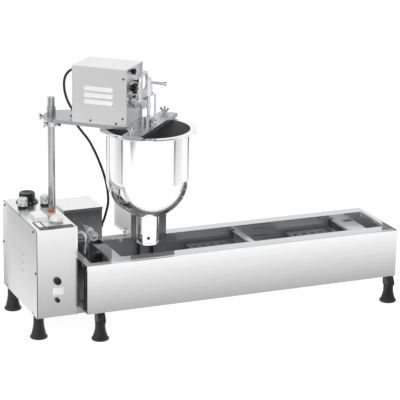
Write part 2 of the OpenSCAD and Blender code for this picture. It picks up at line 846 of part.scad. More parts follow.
// Rim frame with its skirt, capped over the casing
module casing_rim() {
  color(steel_c) place() difference() {
    block([cx0, cy0, frame_z - skirt_h], [cx1, cy1, frame_z]);
    block([cx0 + rim_t, cy0 + rim_t, frame_z - skirt_h - 1], [cx1 - rim_t, cy1 - rim_t, frame_z - rim_t]);
    block([cx0 + rim_left, bay_y0, frame_z - 2 * rim_t], [tx0, bay_y1, rim_z]);
    block([tx0 - tank_t - 1, ty0 - tank_t - 1, frame_z - 2 * rim_t], [tx1 + tank_t + 1, ty1 + tank_t + 1, rim_z]);
  }
}

// Oil tank: a pressed basin with a flange, front bushes for the flipper shafts and a cut-away back corner
module oil_tank() {
  color(bright_c) place() {
    difference() {
      union() {
        translate([tx0 - flange_left, ty0 - flange_front, frame_z]) linear_extrude(tank_t)
          round_rect(flange_left + tank_l + flange_right, flange_front + tank_w + flange_back, 6);
        translate([tx0 - tank_t, ty0 - tank_t, tz0 - tank_t]) linear_extrude(tank_depth + tank_t)
          round_rect(tank_l + 2 * tank_t, tank_w + 2 * tank_t, tank_r + tank_t);
        block([tx0 - flange_left, ty0 - flange_front + 6, frame_z], [tx0 - flange_left + 2 * tank_t, notch_y, rim_z + flange_lip_h]);
      }
      translate([tx0, ty0, tz0]) linear_extrude(tank_depth + 1) round_rect(tank_l, tank_w, tank_r);
      block([tx0 - flange_left - 1, notch_y, frame_z - 1], [tx0 - tank_t, ty1 + flange_back + 1, rim_z + flange_lip_h + 1]);
      for (x = flip_spots) translate([x, ty1 - 1, flip_z]) rod_along_y(flip_shaft_d + 2 * run, tank_t + 2);
    }
    for (x = flip_spots) translate([x, ty0, flip_z]) difference() {
      rod_along_y(flip_shaft_d + 8, bush_l);
      translate([0, 1, 0]) rod_along_y(flip_shaft_d + 2 * run, bush_l);
    }
  }
}

// Fixed cross strip behind the first flipper, and the exit plate at the end
module cross_strips() {
  color(bright_c) place() {
    tray_strip(tx0 + strip_x, strip_w);
    difference() {
      tray_strip(tx0 + exit_x, exit_l);
      translate([tx0 + exit_x + notch_x, ty1 - notch_w, rim_z - strip_drop - strip_t - strip_leg - 1])
        cube([notch_l, notch_w + 1, strip_t + strip_leg + 2]);
    }
  }
}
module tray_strip(x, w) {
  z = rim_z - strip_drop;
  block([x, ty0, z - strip_t], [x + w, ty1, z]);
  for (y = [ty0, ty1 - strip_t]) block([x, y, z - strip_t - strip_leg], [x + w, y + strip_t, z - strip_t]);
  block([x, ty0 + strip_t, z - strip_t - strip_fold], [x + strip_t, ty1 - strip_t, z - strip_t]);
}

// A flipper: a sheet tray with drain holes under a shaft, with its lever and pin behind the tank
module flipper(x) {
  z = flip_z - tray_drop;
  y0 = ty0 + tray_side;
  y1 = ty1 - tray_side;
  translate([x, ty0 + 1.5, flip_z]) rod_along_y(flip_shaft_d, lever_y + lever_t - ty0 - 1.5);
  for (y = [y0, y1 - 3]) {
    translate([x, y, flip_z]) rod_along_y(flip_shaft_d + 8, 3);
    block([x - 8, y, z - 4], [x + 4, y + 3, flip_z]);
    block([x - tray_l, y, z - 4], [x + 4, y + 3, z + 4]);
  }
  difference() {
    block([x - tray_l, y0, z - tray_t], [x - 6, y1, z]);
    for (i = [0 : tray_holes - 1], y = [y0 + 18, (y0 + 18 + y1 - tray_plain) / 2, y1 - tray_plain])
      translate([x - tray_l + 20 + i * (tray_l - 44) / (tray_holes - 1), y, z - tray_t - 1])
        cylinder(d = tray_hole_d, h = tray_t + 2);
  }
  block([x - tray_l, y0, z - 6], [x - tray_l + 2, y1, z]);
  translate([x, lever_y + lever_t, flip_z]) rotate([90, 0, 0]) linear_extrude(lever_t)
    rotate(flip_half - 90) pill(lever_r, lever_pin_d + 7);
  translate([x + lever_r * sin(flip_half), lever_y + lever_t - 1, flip_z - lever_r * cos(flip_half)])
    rod_along_y(lever_pin_d, fork_t + 4);
}
module flipper_left() { color(bright_c) place() flipper(flip_spots[0]); }
module flipper_right() { color(bright_c) place() flipper(flip_spots[1]); }

// A fork for a pin: two prongs with a slot open at the top
module fork(x, y, z0, slot_z, z1, pin_d, room) {
  w = pin_d + 2 * room;
  difference() {
    block([x - w / 2 - 4, y, z0], [x + w / 2 + 4, y + fork_t, z1]);
    block([x - w / 2, y - 1, slot_z], [x + w / 2, y + fork_t + 1, z1 + 1]);
  }
}

// Push rod under the back flange, with a fork for the crank and one for each flipper
module flip_rod() {
  color(shade_c) place() {
    translate([link_x, rod_y, rod_z]) rod_along_x(rod_d, flip_spots[1] + rod_tail - link_x);
    for (x = flip_spots)
      fork(x + lever_r * sin(flip_half), rod_y - fork_t / 2, rod_z - rod_d / 2,
        flip_z - lever_r - lever_pin_d / 2 - 1, flip_z - 4, lever_pin_d, fork_room);
    fork(link_x, link_y, rod_z - rod_d / 2, drive_z - crank_r - crank_pin_d / 2 - 1,
      drive_z - crank_r * cos(crank_half) + crank_pin_d / 2 + 1, crank_pin_d, fork_room);
    block([link_x - 8, link_y, rod_z - rod_d / 2], [link_x + 8, rod_y + fork_t / 2, rod_z + rod_d / 2]);
  }
}

// Two guides on the casing's back wall for the push rod
module rod_guides() {
  color(shade_c) place() for (x = [tx0 + guide_x1, tx0 + guide_x2]) difference() {
    block([x, rod_y - rod_d, rod_z - rod_d - 1], [x + 12, cy1 - rim_t - sheet, rod_z + rod_d + 1]);
    translate([x - 1, rod_y, rod_z]) rod_along_x(rod_d + 2 * run, 14);
  }
}

// Drive housing: floor and four walls, under its lid
module drive_housing() {
  color(steel_c) place() difference() {
    block([drive_x0 + rim_t, drive_y0 + rim_t, rim_z], [drive_x0 + drive_w - rim_t, drive_y0 + drive_d - rim_t, drive_z1 - rim_t]);
    block([drive_x0 + rim_t + sheet, drive_y0 + rim_t + sheet, rim_z + sheet],
      [drive_x0 + drive_w - rim_t - sheet, drive_y0 + drive_d - rim_t - sheet, drive_z1]);
    translate([drive_x, drive_y0, drive_z]) rod_along_y(shaft_d + 4, 10);
  }
}
module drive_lid() {
  color(steel_c) place() difference() {
    block([drive_x0, drive_y0, drive_z1 - lid_skirt], [drive_x0 + drive_w, drive_y0 + drive_d, drive_z1]);
    block([drive_x0 + rim_t, drive_y0 + rim_t, drive_z1 - lid_skirt - 1],
      [drive_x0 + drive_w - rim_t, drive_y0 + drive_d - rim_t, drive_z1 - rim_t]);
  }
}

// Gear motor on the housing's floor
module drive_motor() {
  y = drive_y0 + rim_t + sheet + 2;
  color(shade_c) place() {
    difference() {
      union() {
        block([drive_x - gear_w / 2, y, rim_z + sheet], [drive_x + gear_w / 2, y + gear_d, drive_z + gear_up]);
        translate([drive_x, y + gear_d, drive_z]) rod_along_y(can_d, can_l);
      }
      translate([drive_x, y - 1, drive_z]) rod_along_y(shaft_d + 2 * run, 32);
    }
  }
}

// Drive crank: shaft, arm with a round end, and the pin that works the push rod
module drive_crank() {
  y = drive_y0 + rim_t + sheet + 2;
  color(bright_c) place() {
    translate([drive_x, crank_y, drive_z]) rod_along_y(shaft_d, y + 28 - crank_y);
    translate([drive_x, crank_y - 4, drive_z]) rod_along_y(10, 5);
    translate([drive_x, crank_y + crank_t, drive_z]) rotate([90, 0, 0]) linear_extrude(crank_t) rotate(crank_half - 90) {
      circle(d = shaft_d + 10);
      translate([0, -shaft_d / 2]) square([crank_r, shaft_d]);
      translate([crank_r, 0]) circle(d = crank_end_d);
    }
    translate([link_x, crank_y - 3, drive_z - crank_r * cos(crank_half)]) rod_along_y(crank_pin_d, crank_t + fork_t + 8);
  }
}

// Angle brackets that carry the drive housing and the heater box behind the casing
module rear_brackets() {
  color(shade_c) place() {
    rear_bracket(drive_x0 + rear_inset, drive_w - 2 * rear_inset, drive_y0 + drive_d - rear_back);
    rear_bracket(tx0 + heat_x + rear_inset, heat_w - 2 * rear_inset, heat_y0 + heat_d - rear_back);
  }
}
module rear_bracket(x, w, y_end) {
  block([x, cy1, rim_z - rear_drop], [x + w, cy1 + bracket_sheet, rim_z]);
  block([x, cy1, rim_z - bracket_sheet], [x + w, y_end, rim_z]);
}

// Heater terminal box over the tank's back flange
module heater_box() {
  color(steel_c) place() difference() {
    block([tx0 + heat_x, heat_y0, rim_z], [tx0 + heat_x + heat_w, heat_y0 + heat_d, rim_z + heat_h]);
    block([tx0 + heat_x + sheet, heat_y0 + sheet, rim_z - 1],
      [tx0 + heat_x + heat_w - sheet, heat_y0 + heat_d - sheet, rim_z + heat_h - sheet]);
  }
}

// Heating element: two long legs joined by a round bend, and two risers into the terminal box
module heater_element() {
  z = tz0 + heat_up;
  y_mid = (ty0 + ty1) / 2;
  ya = y_mid - heat_pitch / 2;
  yb = y_mid + heat_pitch / 2;
  xa = tx0 + heat_x + 26;
  xb = tx0 + heat_x + 66;
  x_bend = tx1 - heat_end - heat_pitch / 2;
  yr = heat_y0 + sheet + heat_tube_d / 2 + 3;
  color(shade_c) place() {
    translate([xa, ya, z]) rod_along_x(heat_tube_d, x_bend - xa);
    translate([xb, yb, z]) rod_along_x(heat_tube_d, x_bend - xb);
    translate([x_bend, y_mid, z]) rotate([0, 0, -90]) rotate_extrude(angle = 180)
      translate([heat_pitch / 2, 0]) circle(d = heat_tube_d);
    for (p = [[xa, ya], [xb, yb]]) {
      translate([p[0], p[1], z]) sphere(d = heat_tube_d);
      translate([p[0], p[1], z]) rod_along_y(heat_tube_d, yr - p[1]);
      translate([p[0], yr, z]) sphere(d = heat_tube_d);
      translate([p[0], yr, z]) cylinder(d = heat_tube_d, h = rim_z + 22 - z);
    }
    block([tx0 + heat_x + sheet, heat_y0 + sheet, rim_z], [tx0 + heat_x + heat_w - sheet, ty1 + 20, rim_z + 3]);
  }
}

// Bent conduit for the wires from the control box down into the casing
module wire_conduit() {
  z = box_z1 - conduit_drop;
  x = box_w + conduit_run;
  color(bright_c) place() translate([0, conduit_y, 0]) {
    translate([box_w - sheet - conduit_in, 0, z]) rod_along_x(conduit_d, conduit_run + sheet + conduit_in);
    translate([x, 0, z - conduit_r]) rotate([90, 0, 0]) rotate_extrude(angle = 90)
      translate([conduit_r, 0]) circle(d = conduit_d);
    translate([x + conduit_r, 0, casing_z0 + sheet]) cylinder(d = conduit_d, h = z - conduit_r - casing_z0 - sheet);
    translate([x + conduit_r, 0, casing_z0 + sheet]) cylinder(d = conduit_foot_d, h = conduit_foot_t);
  }
}

// Post: a tube closed at the top that stands on the box's floor
module post() {
  color(bright_c) place() translate([post_x, post_y, box_z0 + box_floor_t]) difference() {
    cylinder(d = post_d, h = post_up + box_h - box_floor_t);
    translate([0, 0, -1]) cylinder(d = post_d - 2 * post_wall, h = post_up + box_h - box_floor_t - 2);
  }
}

// Stop collar under the arm's sleeve, and its two screws
module stop_collar() {
  color(bright_c) on_arm() translate([0, 0, collar_z]) difference() {
    cylinder(d = collar_d, h = collar_h);
    translate([0, 0, -1]) cylinder(d = post_d + 2 * run, h = collar_h + 2);
    for (a = [collar_a1, collar_a2])
      rotate([0, 0, a]) translate([0, 0, collar_h / 2]) rod_along_x(clamp_d + 2 * run, collar_d);
  }
}
module collar_screw() {
  color(bright_c) on_arm() rotate([0, 0, collar_a1]) translate([post_d / 2 + 1, 0, collar_z + collar_h / 2]) {
    rod_along_x(clamp_d, collar_d / 2 - post_d / 2 + 5);
    translate([collar_d / 2 - post_d / 2 + 1, 0, 0]) {
      rod_along_x(9, 4);
      for (s = [-1, 1]) translate([3, 1.25, 0]) rotate([90, 0, 0]) linear_extrude(2.5) rotate(s * 55) pill(8, 6);
    }
  }
}
module collar_knob() {
  color(black_c) on_arm() rotate([0, 0, collar_a2]) translate([post_d / 2 + 1, 0, collar_z + collar_h / 2]) {
    rod_along_x(clamp_d, collar_d / 2 - post_d / 2 + 5);
    translate([collar_d / 2 - post_d / 2 + 1, 0, 0]) rotate([0, 90, 0]) star_knob(18, 9, 6, clamp_d - 1);
  }
}

// Outline of the arm: a round end at the post and a cross strip over the hopper
module arm_outline(inset) {
  translate([arm_round, 0]) circle(r = arm_half - inset);
  translate([arm_round, -arm_half + inset]) square([arm_end - inset - arm_round, 2 * arm_half - 2 * inset]);
  translate([cross_u0 + inset, -cross_half + inset]) square([cross_w - 2 * inset, 2 * cross_half - 2 * inset]);
}

// Arm: a folded tray with edges turned down, and its welded sleeve
module arm() {
  color(steel_c) on_arm() difference() {
    union() {
      difference() {
        translate([0, 0, arm_z - arm_edge_h]) linear_extrude(arm_edge_h) arm_outline(0);
        translate([0, 0, arm_z - arm_edge_h - 1]) linear_extrude(arm_edge_h + 1 - arm_t) arm_outline(arm_t);
      }
      translate([0, 0, arm_z - sleeve_down]) cylinder(d = sleeve_d, h = sleeve_down + sleeve_up);
    }
    translate([0, 0, arm_z - sleeve_down - 1]) cylinder(d = post_d + 2 * run, h = sleeve_down + sleeve_up + 2);
    translate([cable_u, 0, arm_z - arm_t - 1]) cylinder(d = grommet_d + 2 * slip, h = arm_t + 2);
    translate([reach, 0, arm_z - arm_t - 1]) cylinder(d = plunger_d + 2, h = arm_t + 2);
    translate([reach + guide_off, 0, arm_z - arm_t - 1]) cylinder(d = guide_d + 2, h = arm_t + 2);
    for (v = [-stud_v, stud_v]) translate([reach, v, arm_z - arm_t - 1]) cylinder(d = stud_d + 2 * slip, h = arm_t + 2);
    rotate([0, 0, clamp_a]) translate([0, 0, clamp_z]) rod_along_x(clamp_d + 2 * run, arm_half);
  }
}
module arm_screw() {
  color(bright_c) on_arm() rotate([0, 0, clamp_a]) translate([post_d / 2 + 1, 0, clamp_z]) {
    rod_along_x(clamp_d, 20);
    translate([15, 0, 0]) rod_along_x(9, 4);
    translate([18, 0, 0]) rotate([0, 90, 0]) difference() {
      cylinder(d = 17, h = 5);
      for (i = [0 : 11]) rotate([0, 0, i * 30 + 15]) translate([8.5, 0, -1]) cylinder(d = 2, h = 7);
    }
  }
}

// Motor box cover with louvres in front and behind, open below and towards the mechanism
module motor_cover() {
  color(steel_c) on_arm() {
    difference() {
      block([motor_u, -motor_w / 2, arm_z], [motor_u + motor_l, motor_w / 2, arm_z + motor_h]);
      block([motor_u + rim_t, -motor_w / 2 + rim_t, arm_z - 1], [motor_u + motor_l + 1, motor_w / 2 - rim_t, arm_z + motor_h - rim_t]);
      translate([motor_u - 1, 0, cable_top]) rod_along_x(cable_d + 2 * slip, 4);
      for (i = [0 : louvre_count - 1]) motor_louvre_place(i) louvre_cut(louvre_l, louvre_h, rim_t, rim_t);
    }
    for (i = [0 : louvre_count - 1]) motor_louvre_place(i) louvre_hood(louvre_l, louvre_h, louvre_out, rim_t);
  }
}
module motor_louvre_place(i) {
  z = arm_z + louvre_up - i * louvre_step;
  translate([motor_u + louvre_in, -motor_w / 2, z]) children();
  translate([motor_u + louvre_in + louvre_l, motor_w / 2, z]) rotate([0, 0, 180]) children();
}

// Plate in the motor box's open end that carries the dosing shaft and the star knobs
module mechanism_plate() {
  color(bright_c) on_arm() difference() {
    block([plate_u - plate_t, -motor_w / 2 + rim_t, arm_z], [plate_u, motor_w / 2 - rim_t, arm_z + motor_h - rim_t]);
    translate([plate_u - plate_t - 1, 0, dose_z]) rod_along_x(dose_shaft_d + 2 * run, plate_t + 2);
    for (z = [star_z, star_small_z]) translate([plate_u - plate_t - 1, star_v, z]) rod_along_x(stud_d + 2 * run, plate_t + 2);
  }
}

// Gear motor behind that plate
module dose_motor() {
  color(shade_c) on_arm() difference() {
    union() {
      block([plate_u - plate_t - dose_gear_l, -dose_gear_half, dose_z - dose_gear_half],
        [plate_u - plate_t, dose_gear_half, dose_z + dose_gear_up]);
      translate([motor_u + dose_can_room, 0, dose_z]) rod_along_x(dose_can_d, dose_can_l + 2);
    }
    translate([plate_u - plate_t - 24, 0, dose_z]) rod_along_x(dose_shaft_d + 2 * run, 30);
  }
}

// Dosing crank: shaft, disc and pin
module dose_crank() {
  color(bright_c) on_arm() {
    translate([plate_u - plate_t - 20, 0, dose_z]) rod_along_x(dose_shaft_d, disc_u - plate_u + plate_t + 21);
    translate([disc_u, 0, dose_z]) rod_along_x(dose_disc_d, disc_t);
    translate([disc_u + 1, 0, dose_z + dose_r]) rod_along_x(dose_pin_d, yoke_u + yoke_t + 2 - disc_u - 1);
  }
}

// Yoke: a slotted plate with an arched window, and the holder for the plunger rod
module yoke() {
  low = yoke_w / 2;
  color(bright_c) on_arm() difference() {
    union() {
      translate([yoke_u, 0, yoke_z]) rotate([90, 0, 90]) linear_extrude(yoke_t) difference() {
        translate([0, low]) rotate(90) pill(yoke_h - yoke_w, yoke_w);
        translate([-dose_r - 1, dose_z + dose_r - yoke_z]) pill(2 * dose_r + 2, dose_pin_d + 2 * slot_room);
        translate([0, yoke_h - low]) circle(r = low - 10);
        translate([-low + 10, holder_up - yoke_up + 17]) square([yoke_w - 20, yoke_h - low - holder_up + yoke_up - 17]);
      }
      block([yoke_u + yoke_t - 1, -7, holder_z + 1], [reach, 7, holder_z + 15]);
      translate([reach, 0, holder_z]) cylinder(d = holder_d, h = holder_h * 0.6);
      translate([reach, 0, holder_z]) cylinder(d = holder_d - 3, h = holder_h);
    }
    translate([reach, 0, holder_z - 1]) cylinder(d = plunger_d + 2 * slip, h = holder_h + 2);
    translate([reach + plunger_d / 2 + 1, 0, guide_z]) rod_along_x(guide_d + 2 * slip, holder_d);
    translate([reach + plunger_d / 2 + 1, 0, handle_z]) rod_along_x(handle_d + 2 * slip, holder_d);
  }
}

// Plunger: the rod with its cap, the piston in the spout and the forming disc
module plunger() {
  color(bright_c) on_arm() translate([reach, 0, 0]) {
    translate([0, 0, former_z]) cylinder(d = plunger_d, h = holder_z + holder_h + 4 - former_z);
    translate([0, 0, holder_z + holder_h]) cylinder(d = plunger_d + 5, h = 5);
    translate([0, 0, arm_z + boss_h + stroke + clear]) cylinder(d = rod_collar_d, h = rod_collar_h);
    translate([0, 0, former_z]) cylinder(d = former_d, h = 6);
    translate([0, 0, former_z + 6]) cylinder(d1 = former_d - 8, d2 = plunger_d, h = 8);
    translate([0, 0, former_z + 34]) cylinder(d = spout_d - 2 * spout_t - 2 * run, h = piston_h);
  }
}

// Bent guide rod from the holder down through the boss's eye
module guide_rod() {
  bend = 8;
  color(bright_c) on_arm() translate([reach, 0, 0]) {
    translate([guide_off, 0, arm_z + guide_foot]) cylinder(d = guide_d, h = guide_z - bend - arm_z - guide_foot);
    translate([guide_off - bend, 0, guide_z - bend]) rotate([90, 0, 0]) rotate_extrude(angle = 90)
      translate([bend, 0]) circle(d = guide_d);
    translate([plunger_d / 2 + 1.5, 0, guide_z]) rod_along_x(guide_d, guide_off - bend - plunger_d / 2 - 1.5);
  }
}

// Boss on the arm that guides the plunger rod, with an eye for the guide rod
module rod_boss() {
  color(bright_c) on_arm() translate([reach, 0, arm_z]) difference() {
    union() {
      cylinder(d = boss_d, h = boss_h);
      block([0, -6, boss_h - 9], [guide_off, 6, boss_h]);
      translate([guide_off, 0, boss_h - 9]) cylinder(d = 12, h = 9);
    }
    translate([0, 0, -1]) cylinder(d = plunger_d + 2 * run, h = boss_h + 2);
    translate([guide_off, 0, -1]) cylinder(d = guide_d + 2 * run, h = boss_h + 2);
  }
}

// Lift handle with its ball
module lift_handle() {
  color(bright_c) on_arm() translate([reach, 0, handle_z]) {
    translate([plunger_d / 2 + 1.5, 0, 0]) rod_along_x(handle_d, handle_l + 4);
    translate([plunger_d / 2 + 1.5 + handle_l + 4, 0, 0]) sphere(d = ball_d);
  }
}

// Star knobs on the mechanism plate
module dose_knob() {
  color(black_c) on_arm() translate([plate_u, star_v, star_small_z]) {
    translate([-plate_t - 5, 0, 0]) rod_along_x(stud_d, plate_t + 20);
    translate([3, 0, 0]) rotate([0, 90, 0]) star_knob(star_small_d, 10, 5, stud_d - 1);
  }
}
module lock_knob() {
  color(black_c) on_arm() translate([plate_u, star_v, star_z]) {
    translate([-plate_t - 5, 0, 0]) rod_along_x(stud_d, plate_t + 10);
    translate([clear, 0, 0]) rod_along_x(star_d * 0.5, 5);
    translate([5, 0, 0]) rotate([0, 90, 0]) star_knob(star_d, 12, 5, stud_d - 1);
  }
}

// Hopper: a straight wall, a round bottom and a rolled rim
module hopper() {
  rim_r = hopper_rim_d / 2;
  color(bright_c) on_arm() translate([reach, 0, 0]) difference() {
    rotate_extrude() difference() {
      union() {
        intersection() {
          translate([0, bowl_z]) circle(r = hopper_r);
          translate([0, bowl_z - hopper_r]) square([hopper_r, hopper_r]);
        }
        translate([0, bowl_z]) square([hopper_r, hopper_straight]);
        translate([0, hopper_z - rim_ring_t]) square([rim_r - rim_roll_d / 2, rim_ring_t]);
        translate([rim_r - rim_roll_d / 2, hopper_z - rim_roll_d / 2]) circle(d = rim_roll_d);
      }
      translate([0, bowl_z]) circle(r = hopper_r - hopper_t);
      translate([-1, bowl_z]) square([hopper_r - hopper_t + 1, hopper_straight + 1]);
      translate([-1, bowl_z - hopper_r - 1]) square([spout_r + slip + 1, hopper_r]);
      translate([-hopper_r, bowl_z - hopper_r]) square([hopper_r, 2 * hopper_r]);
    }
    for (v = [-stud_v, stud_v]) translate([0, v, hopper_z - 3]) cylinder(d = stud_d + 2 * slip, h = 4);
  }
}

// Spout under the bowl
module spout() {
  color(bright_c) on_arm() translate([reach, 0, spout_z0]) difference() {
    union() {
      cylinder(r = spout_r, h = spout_l + 3);
      cylinder(r = spout_r + 1.5, h = 5);
    }
    translate([0, 0, -1]) cylinder(r = spout_r - spout_t, h = spout_l + 5);
  }
}

// Studs that hang the hopper from the arm's cross strip
module hopper_studs() {
  color(bright_c) on_arm() for (v = [-stud_v, stud_v]) translate([reach, v, 0]) {
    translate([0, 0, hopper_z - stud_d]) cylinder(d = stud_d, h = arm_z + stud_up - hopper_z + stud_d);
    translate([0, 0, hopper_z]) cylinder(d = 2 * stud_d, h = hopper_drop - arm_t);
    translate([0, 0, hopper_z - rim_ring_t - stud_d * 0.58]) cylinder(d = stud_d * 1.17, h = stud_d * 0.58);
  }
}

// Wing nuts on the studs
module wing_nut() {
  difference() {
    union() {
      cylinder(d1 = 12.5, d2 = 10, h = 7);
      for (s = [-1, 1]) translate([0, 1.1, 5]) rotate([90, 0, 0]) linear_extrude(2.2)
        translate([s * 4, 0]) rotate(90 - s * 38) pill(11, 5);
    }
    translate([0, 0, -1]) cylinder(d = stud_d + 2 * run, h = 40);
  }
}
module wing_nut_near() { color(bright_c) on_arm() translate([reach, -stud_v, arm_z + clear]) wing_nut(); }
module wing_nut_far() { color(bright_c) on_arm() translate([reach, stud_v, arm_z + clear]) wing_nut(); }

// Motor cable: a loop behind the motor box and a long fall to the drive housing
module cable_upper() { color(black_c) on_arm() swept_tube(curve(upper_route, 2), cable_d, [0, 1, 0], 10); }
module cable_lower() { color(black_c) place() swept_tube(curve(lower_route, 2), cable_d, [0, 1, 0], 10); }
module cable_gland() {
  color(black_c) on_arm() {
    translate([gland_u, 0, cable_top]) rod_along_x(gland_d, gland_l);
    translate([motor_u, 0, cable_top]) rod_along_x(cable_d, 6);
    translate([cable_u, 0, 0]) rotate_extrude() translate([cable_d / 2 + 0.3, 0]) {
      translate([0, arm_z - arm_t - 2]) square([grommet_d / 2 - cable_d / 2 - 0.3, arm_t + 4]);
      translate([0, arm_z]) square([grommet_d / 2 - cable_d / 2 + 2, 2]);
      translate([0, arm_z - arm_t - 2]) square([grommet_d / 2 - cable_d / 2 + 2, 2]);
    }
  }
}
module drive_gland() {
  wall_x = drive_x0 + drive_w - rim_t;
  color(black_c) place() difference() {
    translate(fall_end) rotate([0, low_gland_tilt, 0]) translate([0, 0, -low_gland_l])
      cylinder(d1 = gland_d, d2 = gland_d - 2, h = low_gland_l);
    block([wall_x - 2 * gland_d, fall_end[1] - gland_d, rim_z], [wall_x, fall_end[1] + gland_d, drive_z1]);
  }
}

// Thermostat under the box's top, and its knob
module thermostat() {
  color(shade_c) place() translate([knob_x, knob_y, box_z1 - sheet - 30]) difference() {
    cylinder(d = 42, h = 30);
    translate([0, 0, 12]) cylinder(d = knob_shaft_d + 2 * run, h = 20);
  }
}
module thermostat_knob() {
  r = knob_d / 2;
  s = knob_skirt_d / 2;
  color(black_c) place() translate([knob_x, knob_y, box_z1]) {
    translate([0, 0, -sheet - 16]) cylinder(d = knob_shaft_d, h = sheet + 20);
    translate([0, 0, clear]) difference() {
      rotate_extrude() polygon([
        [0, 0], [s - 0.5, 0], [s, 0.5], [s, 2], [r + 4, 7], [r + 1, 10], [r, knob_h - 2], [r - 1.5, knob_h],
        [r - 4, knob_h], for (i = [0 : 6]) [(r - 4.5) * (1 - i / 6), knob_h - 0.5 - knob_dish * sin(90 * i / 6)]
      ]);
      for (i = [0 : 17]) rotate([0, 0, i * 20 + 10]) translate([r + 1.6, 0, 10]) cylinder(d = 4.4, h = knob_h);
    }
  }
}

// Switch bodies, rockers and clear boots
module switch_bodies() {
  color(black_c) place() for (s = switch_spots) translate([s[0], s[1], box_z1]) difference() {
    union() {
      cylinder(d = boot_d, h = ring_h);
      translate([0, 0, -26]) cylinder(d = switch_stem_d, h = 27);
    }
    block([-rocker_half_x - clear, -rocker_half_y - 2 * clear, 0],
      [rocker_half_x + clear, rocker_half_y + 2 * clear, ring_h + 1]);
    translate([-rocker_half_x - 2, 0, rocker_up]) rod_along_x(3 + 2 * run, 2 * rocker_half_x + 4);
  }
}
module rocker(s) {
  translate([s[0], s[1], box_z1 + rocker_up]) rotate([rocker_turn / 2, 0, 0]) {
    translate([-rocker_half_x, 0, 0]) rotate([90, 0, 90]) linear_extrude(2 * rocker_half_x)
      polygon([[-rocker_half_y, -1], [0, -3], [rocker_half_y, -1], [rocker_half_y, 5], [0, 7], [-rocker_half_y, 5]]);
    translate([-rocker_half_x - 1.7, 0, 0]) rod_along_x(3, 2 * rocker_half_x + 3.4);
  }
}
module rocker_left() { color(black_c) place() rocker(switch_spots[0]); }
module rocker_right() { color(black_c) place() rocker(switch_spots[1]); }
module switch_boots() {
  color(clear_c) place() for (s = switch_spots) translate([s[0], s[1], box_z1 + ring_h]) rotate_extrude() difference() {
    boot_profile(boot_d / 2, boot_h - ring_h, 4);
    translate([0, -1]) boot_profile(boot_d / 2 - 1.2, boot_h - ring_h - 0.2, 3);
  }
}
module boot_profile(r, h, round) {
  square([r, h - round]);
  square([r - round, h]);
  intersection() {
    translate([r - round, h - round]) circle(r = round);
    translate([0, h - round]) square([r, round]);
  }
}

// Pilot lamp
module pilot_lamp() {
  color(amber_c) place() translate([lamp_x, lamp_y, box_z1]) {
    translate([0, 0, -20]) cylinder(d = lamp_stem_d, h = 21);
    cylinder(d = lamp_d, h = 3);
    cylinder(d = lamp_d * 0.95, h = 10);
    translate([0, 0, 10]) intersection() {
      sphere(d = lamp_d * 0.95);
      cylinder(d = lamp_d, h = 4.5);
    }
  }
}

// White dome button
module dome_button() {
  color(white_c) place() translate([dome_x, dome_y, box_z1]) {
    translate([0, 0, -12]) cylinder(d = dome_stem_d, h = 18);
    translate([0, 0, panel_t + dome_travel + clear]) intersection() {
      translate([0, 0, -4]) sphere(d = dome_d * 1.06);
      cylinder(d = dome_d, h = dome_d);
    }
  }
}

// Fuse cap and reset button on the box's front
module fuse_cap() {
  color(black_c) place() translate([box_w / 2, 0, box_z0 + fuse_z]) {
    rod_along_y(fuse_stem_d, 25);
    difference() {
      translate([0, -clear, 0]) rotate([90, 0, 0]) cylinder(d1 = fuse_d, d2 = fuse_d - 3, h = 9);
      block([-1, -clear - 10, -fuse_d], [1, -clear - 7, fuse_d]);
    }
    translate([0, -1, 0]) rod_along_y(fuse_stem_d, 2);
  }
}
module reset_button() {
  color(black_c) place() translate([box_w / 2, 0, box_z0 + reset_z]) {
    translate([0, -reset_travel - clear - 1, 0]) rod_along_y(reset_stem_d, 22);
    translate([0, -reset_travel - clear, 0]) rotate([90, 0, 0]) cylinder(d = reset_d, h = 4);
  }
}

control_box();
side_cover();
box_floor();
panel_frame();
panel_plate();
feet();
foot_brackets();
joining_bar();
casing();
casing_rim();
oil_tank();
cross_strips();
flipper_left();
flipper_right();
flip_rod();
rod_guides();
drive_housing();
drive_lid();
drive_motor();
drive_crank();
rear_brackets();
heater_box();
heater_element();
wire_conduit();
post();
stop_collar();
collar_screw();
collar_knob();
arm();
arm_screw();
motor_cover();
mechanism_plate();
dose_motor();
dose_crank();
yoke();
plunger();
guide_rod();
rod_boss();
lift_handle();
dose_knob();
lock_knob();
hopper();
spout();
hopper_studs();
wing_nut_near();
wing_nut_far();
cable_upper();
cable_lower();
cable_gland();
drive_gland();
thermostat();
thermostat_knob();
switch_bodies();
rocker_left();
rocker_right();
switch_boots();
pilot_lamp();
dome_button();
fuse_cap();
reset_button();
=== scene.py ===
"""Dresses the frame of a countertop donut fryer: finishes, fasteners, cables, stage and camera."""

from __future__ import annotations

import logging
import math
from dataclasses import dataclass
from enum import Enum
from typing import Sequence

import bmesh
import bpy
from bpy.types import Material, Mesh, Node, Object
from bpy.types import NodeSocket as Socket
from bpy.types import NodeTree as Tree
from mathutils import Matrix, Vector

